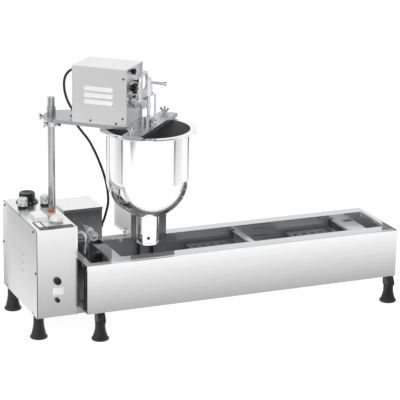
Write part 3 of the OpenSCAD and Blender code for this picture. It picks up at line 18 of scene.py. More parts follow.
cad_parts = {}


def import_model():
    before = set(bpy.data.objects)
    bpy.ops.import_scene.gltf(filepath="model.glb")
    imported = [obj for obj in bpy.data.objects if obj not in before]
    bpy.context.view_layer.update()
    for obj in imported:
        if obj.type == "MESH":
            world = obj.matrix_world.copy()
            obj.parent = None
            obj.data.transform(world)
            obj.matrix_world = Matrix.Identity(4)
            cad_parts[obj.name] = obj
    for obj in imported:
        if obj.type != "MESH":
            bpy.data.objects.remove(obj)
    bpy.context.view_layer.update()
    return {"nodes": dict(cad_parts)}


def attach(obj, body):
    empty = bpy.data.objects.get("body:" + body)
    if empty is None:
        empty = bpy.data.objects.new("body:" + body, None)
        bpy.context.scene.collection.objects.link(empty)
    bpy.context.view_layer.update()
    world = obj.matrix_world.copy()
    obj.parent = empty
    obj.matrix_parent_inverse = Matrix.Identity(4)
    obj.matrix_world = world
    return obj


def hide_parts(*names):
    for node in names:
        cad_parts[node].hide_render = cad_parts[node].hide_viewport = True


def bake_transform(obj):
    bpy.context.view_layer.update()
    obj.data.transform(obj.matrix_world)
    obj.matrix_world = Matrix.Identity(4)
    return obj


LOG = logging.getLogger("donut_fryer")
MM = 0.001
Pair = tuple[float, float]
Triple = tuple[float, float, float]


# Frame of the machine


UP = (0.0, 0.0, 1.0)
DOWN = (0.0, 0.0, -1.0)
TO_LEFT = (-1.0, 0.0, 0.0)
TO_RIGHT = (1.0, 0.0, 0.0)
TO_FRONT = (0.0, -1.0, 0.0)
TO_BACK = (0.0, 1.0, 0.0)


@dataclass(frozen=True)
class MachineFrame:
    """Places machine millimetres in part metres; they start at the box's front left floor corner."""

    mid_x: float = 528.5
    mid_y: float = 83.4872
    post_x: float = 103.0
    post_y: float = 180.0
    head_turn: float = 42.0

    def spot(self, x: float, y: float, z: float) -> Vector:
        """Gives a machine point in part metres."""
        return Vector(((x - self.mid_x) * MM, (y - self.mid_y) * MM, z * MM))

    def arm_way(self, u: float, v: float, z: float) -> Vector:
        """Gives a direction of the arm's own frame as a direction of the part."""
        turn = math.radians(self.head_turn)
        across = u * math.cos(turn) + v * math.sin(turn)
        along = v * math.cos(turn) - u * math.sin(turn)
        return Vector((across, along, z))

    def arm_spot(self, u: float, v: float, z: float) -> Vector:
        """Gives a point of the arm's own frame, from the post's axis, in part metres."""
        return self.spot(self.post_x, self.post_y, 0.0) + self.arm_way(u, v, z) * MM


FRAME = MachineFrame()


# Shader helpers


SHARES = (0.0, 1.0)
# Most values of a noise lie in this range.
NOISE_RANGE = (0.3, 0.7)
NOISE_ROUGHNESS = 0.55
# Numbers of the mix node's sockets for colours
MIX_FIRST = 6
MIX_SECOND = 7
MIX_COLOUR = 2


def linear(code: str) -> tuple[float, float, float, float]:
    """Turns an sRGB colour into linear light.

    Args:
        code: the colour as #RRGGBB.

    Returns:
        Red, green, blue and alpha.
    """
    shares = [int(code[i : i + 2], 16) / 255.0 for i in (1, 3, 5)]
    light = [s / 12.92 if s <= 0.04045 else ((s + 0.055) / 1.055) ** 2.4 for s in shares]
    return (light[0], light[1], light[2], 1.0)


def add_node(
    tree: Tree,
    kind: str,
    settings: dict[str | int, object] | None = None,
    links: dict[str | int, Socket] | None = None,
) -> Node:
    """Adds a node with its settings and links.

    Args:
        tree: the tree that the node joins.
        kind: the node's type name.
        settings: values by the name of a property of the node, or by the name or number of an input.
        links: output sockets by the name or number of the input that they feed.

    Returns:
        The new node.
    """
    node = tree.nodes.new(kind)
    for key, value in (settings or {}).items():
        if isinstance(key, str) and hasattr(node, key):
            setattr(node, key, value)
        else:
            node.inputs[key].default_value = value
    for key, socket in (links or {}).items():
        tree.links.new(socket, node.inputs[key])
    return node


def clear_tree(owner: Material | bpy.types.World) -> Tree:
    """Gives the owner's node tree with nothing in it."""
    owner.use_nodes = True
    owner.node_tree.nodes.clear()
    return owner.node_tree


def ramp(tree: Tree, value: Socket, given: Sequence[float], wanted: Sequence[float]) -> Socket:
    """Runs from one wanted value to the other while a value crosses a given range."""
    settings = {"From Min": given[0], "From Max": given[1], "To Min": wanted[0], "To Max": wanted[1]}
    return add_node(tree, "ShaderNodeMapRange", settings, {"Value": value}).outputs["Result"]


def axes(tree: Tree) -> bpy.types.NodeOutputs:
    """Gives the sockets X, Y and Z of a point on the object, in metres."""
    place = add_node(tree, "ShaderNodeTexCoord").outputs["Object"]
    return add_node(tree, "ShaderNodeSeparateXYZ", links={"Vector": place}).outputs


@dataclass(frozen=True)
class Shade:
    """A material's tree with its main shader, and the patterns that finishes put on it."""

    tree: Tree
    shader: Node

    def fix(self, name: str, value: object) -> None:
        """Sets an input of the shader to one value."""
        self.shader.inputs[name].default_value = value

    def feed(self, name: str, source: Socket) -> None:
        """Links an input of the shader to a socket."""
        self.tree.links.new(source, self.shader.inputs[name])

    def noise(self, size_mm: Sequence[float], detail: float, turn: float = 0.0) -> Socket:
        """Adds noise whose spots have a real size along each axis.

        Args:
            size_mm: the size of a spot along X, Y and Z in millimetres.
            detail: how many finer layers lie on it.
            turn: turn of the pattern about the upright, in degrees.

        Returns:
            The noise's value.
        """
        place = add_node(self.tree, "ShaderNodeTexCoord").outputs["Object"]
        settings = {"Rotation": (0.0, 0.0, math.radians(turn))}
        turned = add_node(self.tree, "ShaderNodeMapping", settings, {"Vector": place}).outputs["Vector"]
        settings = {"Scale": [1.0 / (size * MM) for size in size_mm]}
        sized = add_node(self.tree, "ShaderNodeMapping", settings, {"Vector": turned}).outputs["Vector"]
        settings = {"Scale": 1.0, "Detail": detail, "Roughness": NOISE_ROUGHNESS}
        return add_node(self.tree, "ShaderNodeTexNoise", settings, {"Vector": sized}).outputs["Fac"]

    def vary(self, noise: Socket, low: float, high: float) -> Socket:
        """Stretches a noise to a range of values."""
        return ramp(self.tree, noise, NOISE_RANGE, (low, high))

    def tint(self, share: Socket, first: str, second: str) -> Socket:
        """Mixes two colours by a share."""
        settings = {"data_type": "RGBA", MIX_FIRST: linear(first), MIX_SECOND: linear(second)}
        return add_node(self.tree, "ShaderNodeMix", settings, {0: share}).outputs[MIX_COLOUR]

    def stain(
        self, noise: Socket, first: str, second: str, low: float = 0.0, high: float = 1.0
    ) -> None:
        """Lets the colour vary with a noise from a first to a second one."""
        self.feed("Base Color", self.tint(self.vary(noise, low, high), first, second))

    def bump(self, noise: Socket, strength: float, depth_mm: float) -> None:
        """Raises the surface by a noise, with a strength and a depth in millimetres."""
        settings = {"Strength": strength, "Distance": depth_mm * MM}
        raised = add_node(self.tree, "ShaderNodeBump", settings, {"Height": noise})
        self.feed("Normal", raised.outputs["Normal"])


class Grain(Enum):
    """Direction in which a sheet was brushed."""

    ALONG_TANK = "along the tank"
    UPRIGHT = "upright"
    ALONG_ARM = "along the arm"


# Finishes


@dataclass(frozen=True)
class Finish:
    """A surface finish that builds its material once; each kind adds its own pattern."""

    name: str
    colour: str
    roughness: float

    def shade(self, on: Shade) -> None:
        """Adds the pattern of this finish to the shader."""
        raise NotImplementedError

    def roughen(self, on: Shade, noise: Socket, low: float, high: float) -> None:
        """Lets the roughness vary with a noise between two shares of its own."""
        on.feed("Roughness", on.vary(noise, self.roughness * low, self.roughness * high))

    def material(self) -> Material:
        """Builds the material, or gives the one already built."""
        found = bpy.data.materials.get(self.name)
        if found is not None:
            return found
        made = bpy.data.materials.new(self.name)
        tree = clear_tree(made)
        settings = {"Base Color": linear(self.colour), "Roughness": self.roughness}
        shader = add_node(tree, "ShaderNodeBsdfPrincipled", settings)
        self.shade(Shade(tree, shader))
        add_node(tree, "ShaderNodeOutputMaterial", links={"Surface": shader.outputs["BSDF"]})
        return made


@dataclass(frozen=True)
class BrushedStainless(Finish):
    """Cold-rolled stainless sheet, belt-brushed: fine streaks along the grain blur what it reflects."""

    colour_low: str = "#E4E4E5"
    grain: Grain = Grain.ALONG_TANK
    # A belt leaves scratches of about 0.1 mm. They are drawn 0.7 mm wide so that some of them show.
    streak_mm: float = 0.7
    run_mm: float = 260.0
    spread: float = 0.1
    relief: Pair = (0.1, 0.004)

    def shade(self, on: Shade) -> None:
        """Streaks in roughness and colour along the grain, with a shallow relief."""
        on.fix("Metallic", 1.0)
        size = (self.run_mm, self.streak_mm, self.streak_mm)
        turn = 0.0
        if self.grain is Grain.UPRIGHT:
            size = (self.streak_mm, self.streak_mm, self.run_mm)
        if self.grain is Grain.ALONG_ARM:
            turn = FRAME.head_turn
        streaks = on.noise(size, 3.0, turn)
        self.roughen(on, streaks, 1.0 - self.spread, 1.0 + self.spread)
        on.stain(streaks, self.colour_low, self.colour)
        on.bump(streaks, *self.relief)


@dataclass(frozen=True)
class PolishedStainless(Finish):
    """Pressed or spun stainless, buffed to a mirror: sharp reflections that waver a little."""

    wave_mm: float = 55.0
    smear: float = 0.03
    # The rest of the light is scattered by the dull skin that rolling and use leave on the sheet.
    mirror_share: float = 1.0
    haze_mm: float = 60.0
    relief: Pair = (0.1, 0.12)

    def shade(self, on: Shade) -> None:
        """Long shallow waves of the sheet, and faint buffing haze in the roughness."""
        on.fix("Metallic", self.mirror_share)
        waves = on.noise((self.wave_mm,) * 3, 1.0)
        haze = on.noise((self.haze_mm,) * 3, 2.0)
        on.feed("Roughness", on.vary(haze, self.roughness, self.roughness + self.smear))
        on.bump(waves, *self.relief)


@dataclass(frozen=True)
class PressedBasin(PolishedStainless):
    """Stainless pressed into a tank: the flange stays bright, the inside goes dull from heat."""

    flange_z: float = 219.0
    inside_roughness: float = 0.24
    edge_mm: float = 3.0

    def shade(self, on: Shade) -> None:
        """The polish of the flange, and a duller skin below it."""
        super().shade(on)
        edge = ((self.flange_z - self.edge_mm) * MM, self.flange_z * MM)
        skins = (self.inside_roughness, self.roughness)
        on.feed("Roughness", ramp(on.tree, axes(on.tree)["Z"], edge, skins))


@dataclass(frozen=True)
class SpunBowl(PolishedStainless):
    """Stainless spun over a former: buffed to a mirror outside, left dull and dark inside."""

    inside: str = "#A6A7A9"
    inside_roughness: float = 0.36
    inside_mirror_share: float = 0.62
    axis: Triple = (0.0, 0.0, 0.0)
    # A wall whose plane passes the axis point within this many metres shows both skins.
    both_within: float = 0.004

    def shade(self, on: Shade) -> None:
        """The mirror of the outside, and the dull skin wherever the wall faces the bowl's own axis."""
        super().shade(on)
        place = add_node(on.tree, "ShaderNodeTexCoord").outputs
        settings = {"operation": "SUBTRACT", 1: tuple(FRAME.spot(*self.axis))}
        out = add_node(on.tree, "ShaderNodeVectorMath", settings, {0: place["Object"]})
        links = {0: out.outputs["Vector"], 1: place["Normal"]}
        faces = add_node(on.tree, "ShaderNodeVectorMath", {"operation": "DOT_PRODUCT"}, links)
        share = ramp(on.tree, faces.outputs["Value"], (-self.both_within, self.both_within), SHARES)
        on.feed("Base Color", on.tint(share, self.inside, self.colour))
        skins = (self.inside_roughness, self.roughness)
        on.feed("Roughness", ramp(on.tree, share, SHARES, skins))
        skins = (self.inside_mirror_share, self.mirror_share)
        on.feed("Metallic", ramp(on.tree, share, SHARES, skins))


@dataclass(frozen=True)
class TurnedSteel(Finish):
    """Steel bar turned or milled bright: fine tool marks and slightly soft highlights."""

    # Tool marks lie 0.1 mm apart. They are drawn 0.9 mm apart so that they show at all.
    mark_mm: float = 0.9
    shadow: str = "#B9BABC"
    mirror_share: float = 1.0
    run_mm: float = 14.0
    relief: Pair = (0.05, 0.01)

    def shade(self, on: Shade) -> None:
        """Tool marks in roughness and a slightly darker colour in between."""
        on.fix("Metallic", self.mirror_share)
        marks = on.noise((self.run_mm, self.run_mm, self.mark_mm), 2.0)
        self.roughen(on, marks, 0.9, 1.12)
        on.stain(marks, self.shadow, self.colour, 0.5)
        on.bump(marks, *self.relief)


@dataclass(frozen=True)
class MouldedBlack(Finish):
    """Moulded or painted black: a fine grain that breaks the highlights, and dust that greys it."""

    dusty: str = "#2C2C2D"
    grain_mm: float = 1.2
    depth_mm: float = 0.05
    ior: float = 1.5
    dust_mm: float = 16.0
    relief: float = 0.3

    def shade(self, on: Shade) -> None:
        """Grain in the relief, and slow spots of dust in colour and roughness."""
        on.fix("IOR", self.ior)
        grain = on.noise((self.grain_mm,) * 3, 2.0)
        dust = on.noise((self.dust_mm,) * 3, 4.0)
        on.stain(dust, self.colour, self.dusty)
        self.roughen(on, dust, 0.9, 1.15)
        on.bump(grain, self.relief, self.depth_mm)


@dataclass(frozen=True)
class ClearPvc(Finish):
    """Clear soft PVC, dip-moulded: glossy, with creases that break up the light."""

    # Painted shade: a grey that stands in for the dark switch seen through the boot's folds.
    painted_fold_shade: str = "#AEB0B2"
    clearness: float = 0.2
    ior: float = 1.53
    wave_mm: Triple = (6.0, 6.0, 9.0)
    relief: Pair = (1.0, 5.0)

    def shade(self, on: Shade) -> None:
        """Some light goes through, slow waves bend it, and painted shade greys the colour in patches."""
        on.fix("Transmission Weight", self.clearness)
        on.fix("IOR", self.ior)
        waves = on.noise(self.wave_mm, 1.0)
        self.roughen(on, waves, 0.7, 1.4)
        # Painted shade: where the waves are low, the colour turns to that grey.
        on.stain(waves, self.painted_fold_shade, self.colour, 0.0, 1.9)
        on.bump(waves, *self.relief)


@dataclass(frozen=True)
class LampLens(Finish):
    """Polycarbonate lens over a bright collar: an amber cap on a pale, shiny body."""

    body: str = "#CFC9C4"
    edge_z: float = 318.5
    soft_mm: float = 0.6
    # Painted shade: darker amber streaks that stand in for the light bent by the fluting inside the lens.
    flute_shade: str = "#8E4527"
    flute_shade_mm: Triple = (2.2, 2.2, 12.0)
    ior: float = 1.58
    coat: float = 0.6

    def shade(self, on: Shade) -> None:
        """The cap is tinted above a height, and painted shade streaks the amber where the fluting inside
        the lens bends the light.
        """
        on.fix("IOR", self.ior)
        on.fix("Coat Weight", self.coat)
        edge = ((self.edge_z - self.soft_mm) * MM, (self.edge_z + self.soft_mm) * MM)
        cap = ramp(on.tree, axes(on.tree)["Z"], edge, SHARES)
        # Painted shade of the fluting, as streaks of the darker amber.
        flute_shades = on.vary(on.noise(self.flute_shade_mm, 1.0), *SHARES)
        amber = on.tint(flute_shades, self.flute_shade, self.colour)
        settings = {"data_type": "RGBA", MIX_FIRST: linear(self.body)}
        mixed = add_node(on.tree, "ShaderNodeMix", settings, {0: cap, MIX_SECOND: amber})
        on.feed("Base Color", mixed.outputs[MIX_COLOUR])


@dataclass(frozen=True)
class WhitePlastic(Finish):
    """White ABS, moulded glossy: soft white with a little light inside and faint handling marks."""

    marked: str = "#DDDDDA"
    mark_mm: float = 12.0
    ior: float = 1.53
    inner_light: float = 0.15
    inner_reach: float = 0.004

    def shade(self, on: Shade) -> None:
        """Slow marks in colour and roughness, and light that spreads under the surface."""
        on.fix("IOR", self.ior)
        on.fix("Subsurface Weight", self.inner_light)
        on.fix("Subsurface Radius", (self.inner_reach,) * 3)
        marks = on.noise((self.mark_mm,) * 3, 3.0)
        on.stain(marks, self.colour, self.marked, 0.0, 0.6)
        self.roughen(on, marks, 0.85, 1.3)


@dataclass(frozen=True)
class CastMetal(Finish):
    """Die-cast or scaled metal: a pitted grey skin with blotches."""

    blotch: str = "#6E6F71"
    pit_mm: float = 1.0
    blotch_mm: float = 14.0
    relief: Pair = (0.35, 0.08)

    def shade(self, on: Shade) -> None:
        """Pits in the relief and blotches in the colour."""
        on.fix("Metallic", 1.0)
        pits = on.noise((self.pit_mm,) * 3, 2.0)
        blotches = on.noise((self.blotch_mm,) * 3, 4.0)
        on.stain(blotches, self.blotch, self.colour)
        on.bump(pits, *self.relief)


class FinishSet:
    """All finishes of the machine."""

    casing = BrushedStainless("stainless_brushed_along", "#F0F0F1", 0.24, "#EAEAEB")
    cabinet = BrushedStainless(
        "stainless_brushed_upright", "#EEEEEF", 0.24, "#ECECED", Grain.UPRIGHT, spread=0.03
    )
    head = BrushedStainless("stainless_brushed_arm", "#EAEAEB", 0.24, "#E4E4E5", Grain.ALONG_ARM)
    arm = BrushedStainless("stainless_rolled_dull", "#B6B7B9", 0.28, "#A6A7A9", Grain.ALONG_ARM)
    # The trays' dark grey is painted shade: they lie low in the tank, in shadow.
    tray = PolishedStainless("stainless_pressed_painted_shade", "#88898B", 0.2, smear=0.08, mirror_share=0.9)
    housing = BrushedStainless("stainless_rolled_bright", "#BFC0C2", 0.1, "#B4B5B7")
    mirror = PolishedStainless("stainless_buffed", "#F2F2F3", 0.035)
    bowl = SpunBowl("stainless_spun_and_buffed", "#F2F2F3", 0.035, axis=(311.8, -8.0, 470.0))
    basin = PressedBasin("stainless_pressed_bright", "#CFD0D2", 0.06, mirror_share=0.77)
    tube = PolishedStainless("stainless_drawn_tube", "#B4B5B7", 0.07)
    turned = TurnedSteel("steel_turned_bright", "#DADBDD", 0.16)
    plate = TurnedSteel("steel_milled_plate", "#E9E9EA", 0.34, shadow="#D6D7D9", mirror_share=0.7)
    screw = TurnedSteel("steel_screw_oiled", "#77787A", 0.3, shadow="#5A5B5D")
    sheath = CastMetal("steel_heater_sheath", "#5B5855", 0.5, "#3F3D3B")
    cast = CastMetal("aluminium_die_cast", "#9A9B9D", 0.5)
    rubber = MouldedBlack("rubber_moulded", "#121212", 0.4, "#232323", 1.6, 0.02)
    cable = MouldedBlack("pvc_extruded_cable", "#0F0F10", 0.38, "#1D1D1E", 2.0, 0.02)
    plastic = MouldedBlack("phenolic_moulded", "#0E0E0F", 0.2, "#1C1C1D", 0.9, 0.02)
    paint = MouldedBlack("steel_powder_coated_black", "#131313", 0.42, "#222222", 0.8)
    overlay = MouldedBlack("polyester_printed_black", "#17171A", 0.25, "#202023", 1.0, 0.01)
    clear = ClearPvc("pvc_clear_dip_moulded", "#FAFCFC", 0.03)
    amber = LampLens("polycarbonate_amber", "#B5714E", 0.12)
    white = WhitePlastic("abs_white_moulded", "#F4F4F2", 0.22)
    label = WhitePlastic("laminate_white_bare", "#FDFDFD", 0.3, "#F4F4F3")


FINISHES = FinishSet()


# Mesh helpers


Shape = bmesh.types.BMesh
Ring = list[bmesh.types.BMVert]
SHARP_ANGLE = 32.0
CORNER_STEPS = 5
LEAST_RADIUS = 0.05
ROUND_STEPS = 24
# Degrees by which each screw in a row is turned on from the one before
SCREW_TURN = 37.0
# Outlines of screw heads as shares of the head's radius and height
HEX_WASHER = ((0.0, 0.0), (1.25, 0.0), (1.25, 0.18), (1.05, 0.24), (0.0, 0.24))
HEX_HEAD = ((0.0, 0.22), (1.0, 0.22), (1.0, 0.85), (0.86, 1.0), (0.0, 1.0))
PAN_HEAD = ((0.0, 0.0), (1.0, 0.0), (1.0, 0.35), (0.93, 0.65), (0.7, 0.9), (0.35, 1.0), (0.0, 1.0))


def link_object(name: str, data: bpy.types.ID) -> Object:
    """Makes an object of its data and puts it in the scene."""
    made = bpy.data.objects.new(name, data)
    bpy.context.scene.collection.objects.link(made)
    return made


def close_mesh(name: str, shape: Shape) -> Mesh:
    """Turns a bmesh into a mesh with outward faces and frees it."""
    bmesh.ops.recalc_face_normals(shape, faces=shape.faces)
    mesh = bpy.data.meshes.new(name)
    shape.to_mesh(mesh)
    shape.free()
    return mesh


def add_piece(name: str, shape: Shape, finish: Finish, body: str | None) -> Object:
    """Makes a piece of a shape in part metres, dresses it and lets it ride on a body.

    Args:
        name: the piece's name.
        shape: its bmesh, which is freed.
        finish: the finish that it shows.
        body: the body that it moves with, or None where it rides on no body.

    Returns:
        The new object.
    """
    mesh = close_mesh(name, shape)
    made = link_object(name, mesh)
    mesh.materials.append(finish.material())
    mesh.shade_smooth()
    mesh.set_sharp_from_angle(angle=math.radians(SHARP_ANGLE))
    if body is not None:
        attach(made, body)
    LOG.info("piece %s on %s", name, body)
    return made


def merge(shape: Shape, part: Shape, place: Matrix) -> None:
    """Adds a part to a shape and frees the part.

    Args:
        shape: takes the part.
        part: the part round its own origin.
        place: where it goes.
    """
    bmesh.ops.transform(part, matrix=place, verts=part.verts)
    copy = bpy.data.meshes.new("merged_part")
    part.to_mesh(copy)
    part.free()
    shape.from_mesh(copy)
    bpy.data.meshes.remove(copy)


def skin(shape: Shape, rings: Sequence[Ring]) -> None:
    """Joins each ring of points to the next and closes the two ends.

    Args:
        shape: takes the faces.
        rings: rings of as many points each, or of a single one.
    """
    for low, high in zip(rings, rings[1:]):
        for i in range(max(len(low), len(high))):
            j = i + 1
            corners = [low[i % len(low)], low[j % len(low)], high[j % len(high)], high[i % len(high)]]
            unique = list(dict.fromkeys(corners))
            if len(unique) > 2:
                shape.faces.new(unique)
    for end in (rings[0], rings[-1]):
        if len(end) > 2:
            shape.faces.new(end)


def circle(steps: int) -> list[float]:
    """Gives the angles of points that are spread evenly round a circle."""
    return [2.0 * math.pi * i / steps for i in range(steps)]


def lathe(shape: Shape, outline: Sequence[Pair], steps: int) -> None:
    """Turns an outline round Z; radius 0 closes it.

    Args:
        shape: takes the faces.
        outline: radius and height of each point in millimetres, from the bottom up.
        steps: points round the axis.
    """
    rings: list[Ring] = []
    for radius, height in outline:
        turns = circle(steps) if radius > 0.0 else [0.0]
        points = [(radius * math.cos(t), radius * math.sin(t), height) for t in turns]
        rings.append([shape.verts.new(Vector(point) * MM) for point in points])
    skin(shape, rings)


def aim(way: Vector, at: Vector) -> Matrix:
    """Gives the matrix that turns Z to a direction and moves to a point."""
    return Matrix.Translation(at) @ way.to_track_quat("Z", "Y").to_matrix().to_4x4()


def standing(at: Triple) -> Matrix:
    """Gives the matrix that stands a flat plate at a machine point, facing the front."""
    return Matrix.Translation(FRAME.spot(*at)) @ Matrix.Rotation(math.radians(90.0), 4, "X")


@dataclass(frozen=True)
class Strip:
    """A thin plate with round corners and a chamfered upper edge, in millimetres."""

    size: Triple
    corner: float
    edge: float = 0.4

    def add(self, shape: Shape, place: Matrix) -> None:
        """Adds the plate to a shape.

        Args:
            shape: takes the plate.
            place: where its lower middle goes.
        """
        length, width, thick = self.size
        rings: list[Ring] = []
        for height, inset in ((0.0, 0.0), (thick - self.edge, 0.0), (thick, self.edge)):
            reach = max(self.corner - inset, LEAST_RADIUS)
            ring = []
            for sx, sy, first in ((1, 1, 0), (-1, 1, 90), (-1, -1, 180), (1, -1, 270)):
                for step in range(CORNER_STEPS + 1):
                    angle = math.radians(first + 90.0 * step / CORNER_STEPS)
                    x = sx * (length / 2 - self.corner) + reach * math.cos(angle)
                    y = sy * (width / 2 - self.corner) + reach * math.sin(angle)
                    ring.append(shape.verts.new(place @ (Vector((x, y, height)) * MM)))
            rings.append(ring)
        skin(shape, rings)


def smooth_route(points: Sequence[Vector], between: int) -> list[Vector]:
    """Gives a smooth curve through the points.

    Args:
        points: the points of the route.
        between: steps from each to the next.

    Returns:
        The points of the curve.
    """
    made: list[Vector] = []
    last = len(points) - 1
    for i in range(last):
        a, b = points[max(i - 1, 0)], points[i]
        c, d = points[i + 1], points[min(i + 2, last)]
        for step in range(between):
            t = step / between
            twice = 2.0 * b + (c - a) * t
            twice += (2.0 * a - 5.0 * b + 4.0 * c - d) * t * t
            twice += (3.0 * b - a - 3.0 * c + d) * t * t * t
            made.append(0.5 * twice)
    made.append(points[last].copy())
    return made


def tube(path: Sequence[Vector], diameter: float, sides: int) -> Shape:
    """Sweeps a closed round tube along a path.

    Args:
        path: points in part metres.
        diameter: in metres.
        sides: points round the tube.

    Returns:
        The tube.
    """
    shape = bmesh.new()
    rings: list[Ring] = []
    side = Vector(TO_BACK)
    last = len(path) - 1
    for i, point in enumerate(path):
        way = (path[min(i + 1, last)] - path[max(i - 1, 0)]).normalized()
        out = way.cross(side).normalized()
        up = way.cross(out)
        spokes = [math.cos(turn) * out + math.sin(turn) * up for turn in circle(sides)]
        rings.append([shape.verts.new(point + 0.5 * diameter * spoke) for spoke in spokes])
    skin(shape, rings)
    return shape


class Drive(Enum):
    """What turns a screw."""

    SLOT = "slot"
    CROSS = "cross"
    HEX = "hexagon"


@dataclass(frozen=True)
class Screw:
    """A screw's head: its size in millimetres, its drive, and its recess in shares of the head."""

    head_d: float
    head_h: float
    drive: Drive
    recess_wide: float = 0.17
    slot_long: float = 1.2
    cross_long: float = 0.62
    recess_middle: float = 0.95

    def cut(self, mesh: Mesh) -> Mesh:
        """Sinks the slot or the cross into a pan head.

        Args:
            mesh: the plain head.

        Returns:
            The head with its recess.
        """
        recess = bmesh.new()
        wide = self.head_d * self.recess_wide
        runs = [(self.head_d * self.slot_long, wide)]
        if self.drive is Drive.CROSS:
            reach = self.head_d * self.cross_long
            runs = [(reach, wide), (wide, reach)]
        lift = Matrix.Translation((0.0, 0.0, self.head_h * self.recess_middle * MM))
        for length, width in runs:
            stretch = Matrix.Diagonal((length * MM, width * MM, self.head_h * MM, 1.0))
            bmesh.ops.create_cube(recess, size=1.0, matrix=lift @ stretch)
        tool = link_object("recess_tool", close_mesh("recess_tool", recess))
        head = link_object("recess_head", mesh)
        change = head.modifiers.new("recess", "BOOLEAN")
        change.operation = "DIFFERENCE"
        change.object = tool
        change.use_self = True
        bpy.context.view_layer.update()
        solved = head.evaluated_get(bpy.context.evaluated_depsgraph_get())
        made = bpy.data.meshes.new_from_object(solved)
        bpy.data.objects.remove(tool)
        bpy.data.objects.remove(head)
        return made

    def turn(self, shape: Shape, shares: Sequence[Pair], steps: int) -> None:
        """Turns an outline of shares at the head's own size."""
        lathe(shape, [(r * self.head_d / 2, h * self.head_h) for r, h in shares], steps)

    def template(self) -> Mesh:
        """Builds one head that stands on Z = 0 and points up Z."""
        shape = bmesh.new()
        if self.drive is Drive.HEX:
            self.turn(shape, HEX_WASHER, ROUND_STEPS)
            self.turn(shape, HEX_HEAD, 6)
            return close_mesh("hex_head", shape)
        self.turn(shape, PAN_HEAD, ROUND_STEPS)
        return self.cut(close_mesh("pan_head", shape))


def add_screws(
    name: str,
    kind: Screw,
    places: Sequence[tuple[Vector, Vector]],
    body: str,
    finish: Finish,
) -> None:
    """Sets like screws on one body as one piece.

    Args:
        name, body, finish: as for add_piece.
        kind: the screw.
        places: point and outward direction of each screw.
    """
    template = kind.template()
    shape = bmesh.new()
    for number, (at, way) in enumerate(places):
        head = bmesh.new()
        head.from_mesh(template)
        turn = Matrix.Rotation(math.radians(SCREW_TURN * number), 4, "Z")
        merge(shape, head, aim(way, at) @ turn)
    bpy.data.meshes.remove(template)
    add_piece(name, shape, finish, body)


@dataclass
class SubAssembly:
    """A group of the frame's nodes with the pieces that are added to it."""

    nodes: dict[str, Object]

    def dress(self, **wear: str) -> None:
        """Gives CAD nodes a finish in their material slots.

        Args:
            wear: names of nodes, under the finish that they wear.
        """
        for finish_name, names in wear.items():
            finish = getattr(FINISHES, finish_name)
            for name in names.split():
                thing = self.nodes[name]
                if not thing.material_slots:
                    thing.data.materials.append(finish.material())
                for slot in thing.material_slots:
                    slot.material = finish.material()
                LOG.info("dressed %s in %s", name, finish.name)


# Sub-assemblies of the machine


@dataclass
class ControlBox(SubAssembly):
    """The cabinet with its controls: covers, overlay, knob, switches, lamp and buttons."""

    plate: Strip = Strip((29.6, 21.5, 0.9), 1.5)
    plate_at: Triple = (60.1, 0.0, 138.05)
    # Black strips of painted shade along the front and top edges of the side cover, where its gap to the
    # box lies in shadow.
    front_gap_shade: Strip = Strip((2.0, 244.0, 0.15), 0.3, 0.05)
    front_gap_shade_at: Triple = (1.6, 0.0, 189.0)
    top_gap_shade: Strip = Strip((2.0, 303.0, 0.15), 0.3, 0.05)
    top_gap_shade_at: Triple = (1.6, 152.5, 312.0)
    knob_at: Triple = (58.0, 263.0, 312.0)
    skirt_slope: float = 45.0
    tick: Strip = Strip((3.6, 1.5, 0.3), 0.3, 0.1)
    tick_at: Triple = (28.6, 0.0, 4.9)
    tick_count: int = 11
    tick_first: float = -225.0
    tick_sweep: float = 270.0
    cover_screws: tuple[Pair, ...] = ((300.0, 192.0), (9.5, 191.0), (25.0, 303.0), (285.0, 303.0))

    def build(self) -> None:
        """Dresses the nodes and adds screws, the bare plate, the strips of painted gap shade and the
        knob's ticks.
        """
        self.dress(
            cabinet="control_box side_cover box_floor joining_bar",
            overlay="panel_frame", label="panel_plate", rubber="feet",
            plastic="thermostat_knob switch_bodies rocker_left rocker_right fuse_cap reset_button",
            clear="switch_boots", amber="pilot_lamp", white="dome_button",
            cast="thermostat", turned="wire_conduit", tube="post",
        )
        self.add_trim()
        self.add_ticks()
        places = [(FRAME.spot(0.0, y, z), Vector(TO_LEFT)) for y, z in self.cover_screws]
        add_screws("cover_screws", Screw(7.0, 2.2, Drive.CROSS), places, "base", FINISHES.screw)

    def add_trim(self) -> None:
        """The bare white plate on the front, and black strips of painted shade for the gap between the
        side cover and the box.
        """
        plate = bmesh.new()
        self.plate.add(plate, standing(self.plate_at))
        add_piece("front_plate", plate, FINISHES.label, "base")
        # Painted shade: black strips where the gap between the side cover and the box is in shadow.
        gap_shades = bmesh.new()
        self.front_gap_shade.add(gap_shades, standing(self.front_gap_shade_at))
        self.top_gap_shade.add(gap_shades, Matrix.Translation(FRAME.spot(*self.top_gap_shade_at)))
        add_piece("cover_gap_shades", gap_shades, FINISHES.paint, "base")

    def add_ticks(self) -> None:
        """White marks on the sloping skirt of the thermostat knob."""
        shape = bmesh.new()
        middle = Matrix.Translation(FRAME.spot(*self.knob_at))
        out = Matrix.Translation(Vector(self.tick_at) * MM)
        tilt = Matrix.Rotation(math.radians(self.skirt_slope), 4, "Y")
        for number in range(self.tick_count):
            angle = self.tick_first + self.tick_sweep * number / (self.tick_count - 1)
            turn = Matrix.Rotation(math.radians(angle), 4, "Z")
            self.tick.add(shape, middle @ turn @ out @ tilt)
        add_piece("knob_ticks", shape, FINISHES.white, "thermostat_knob")


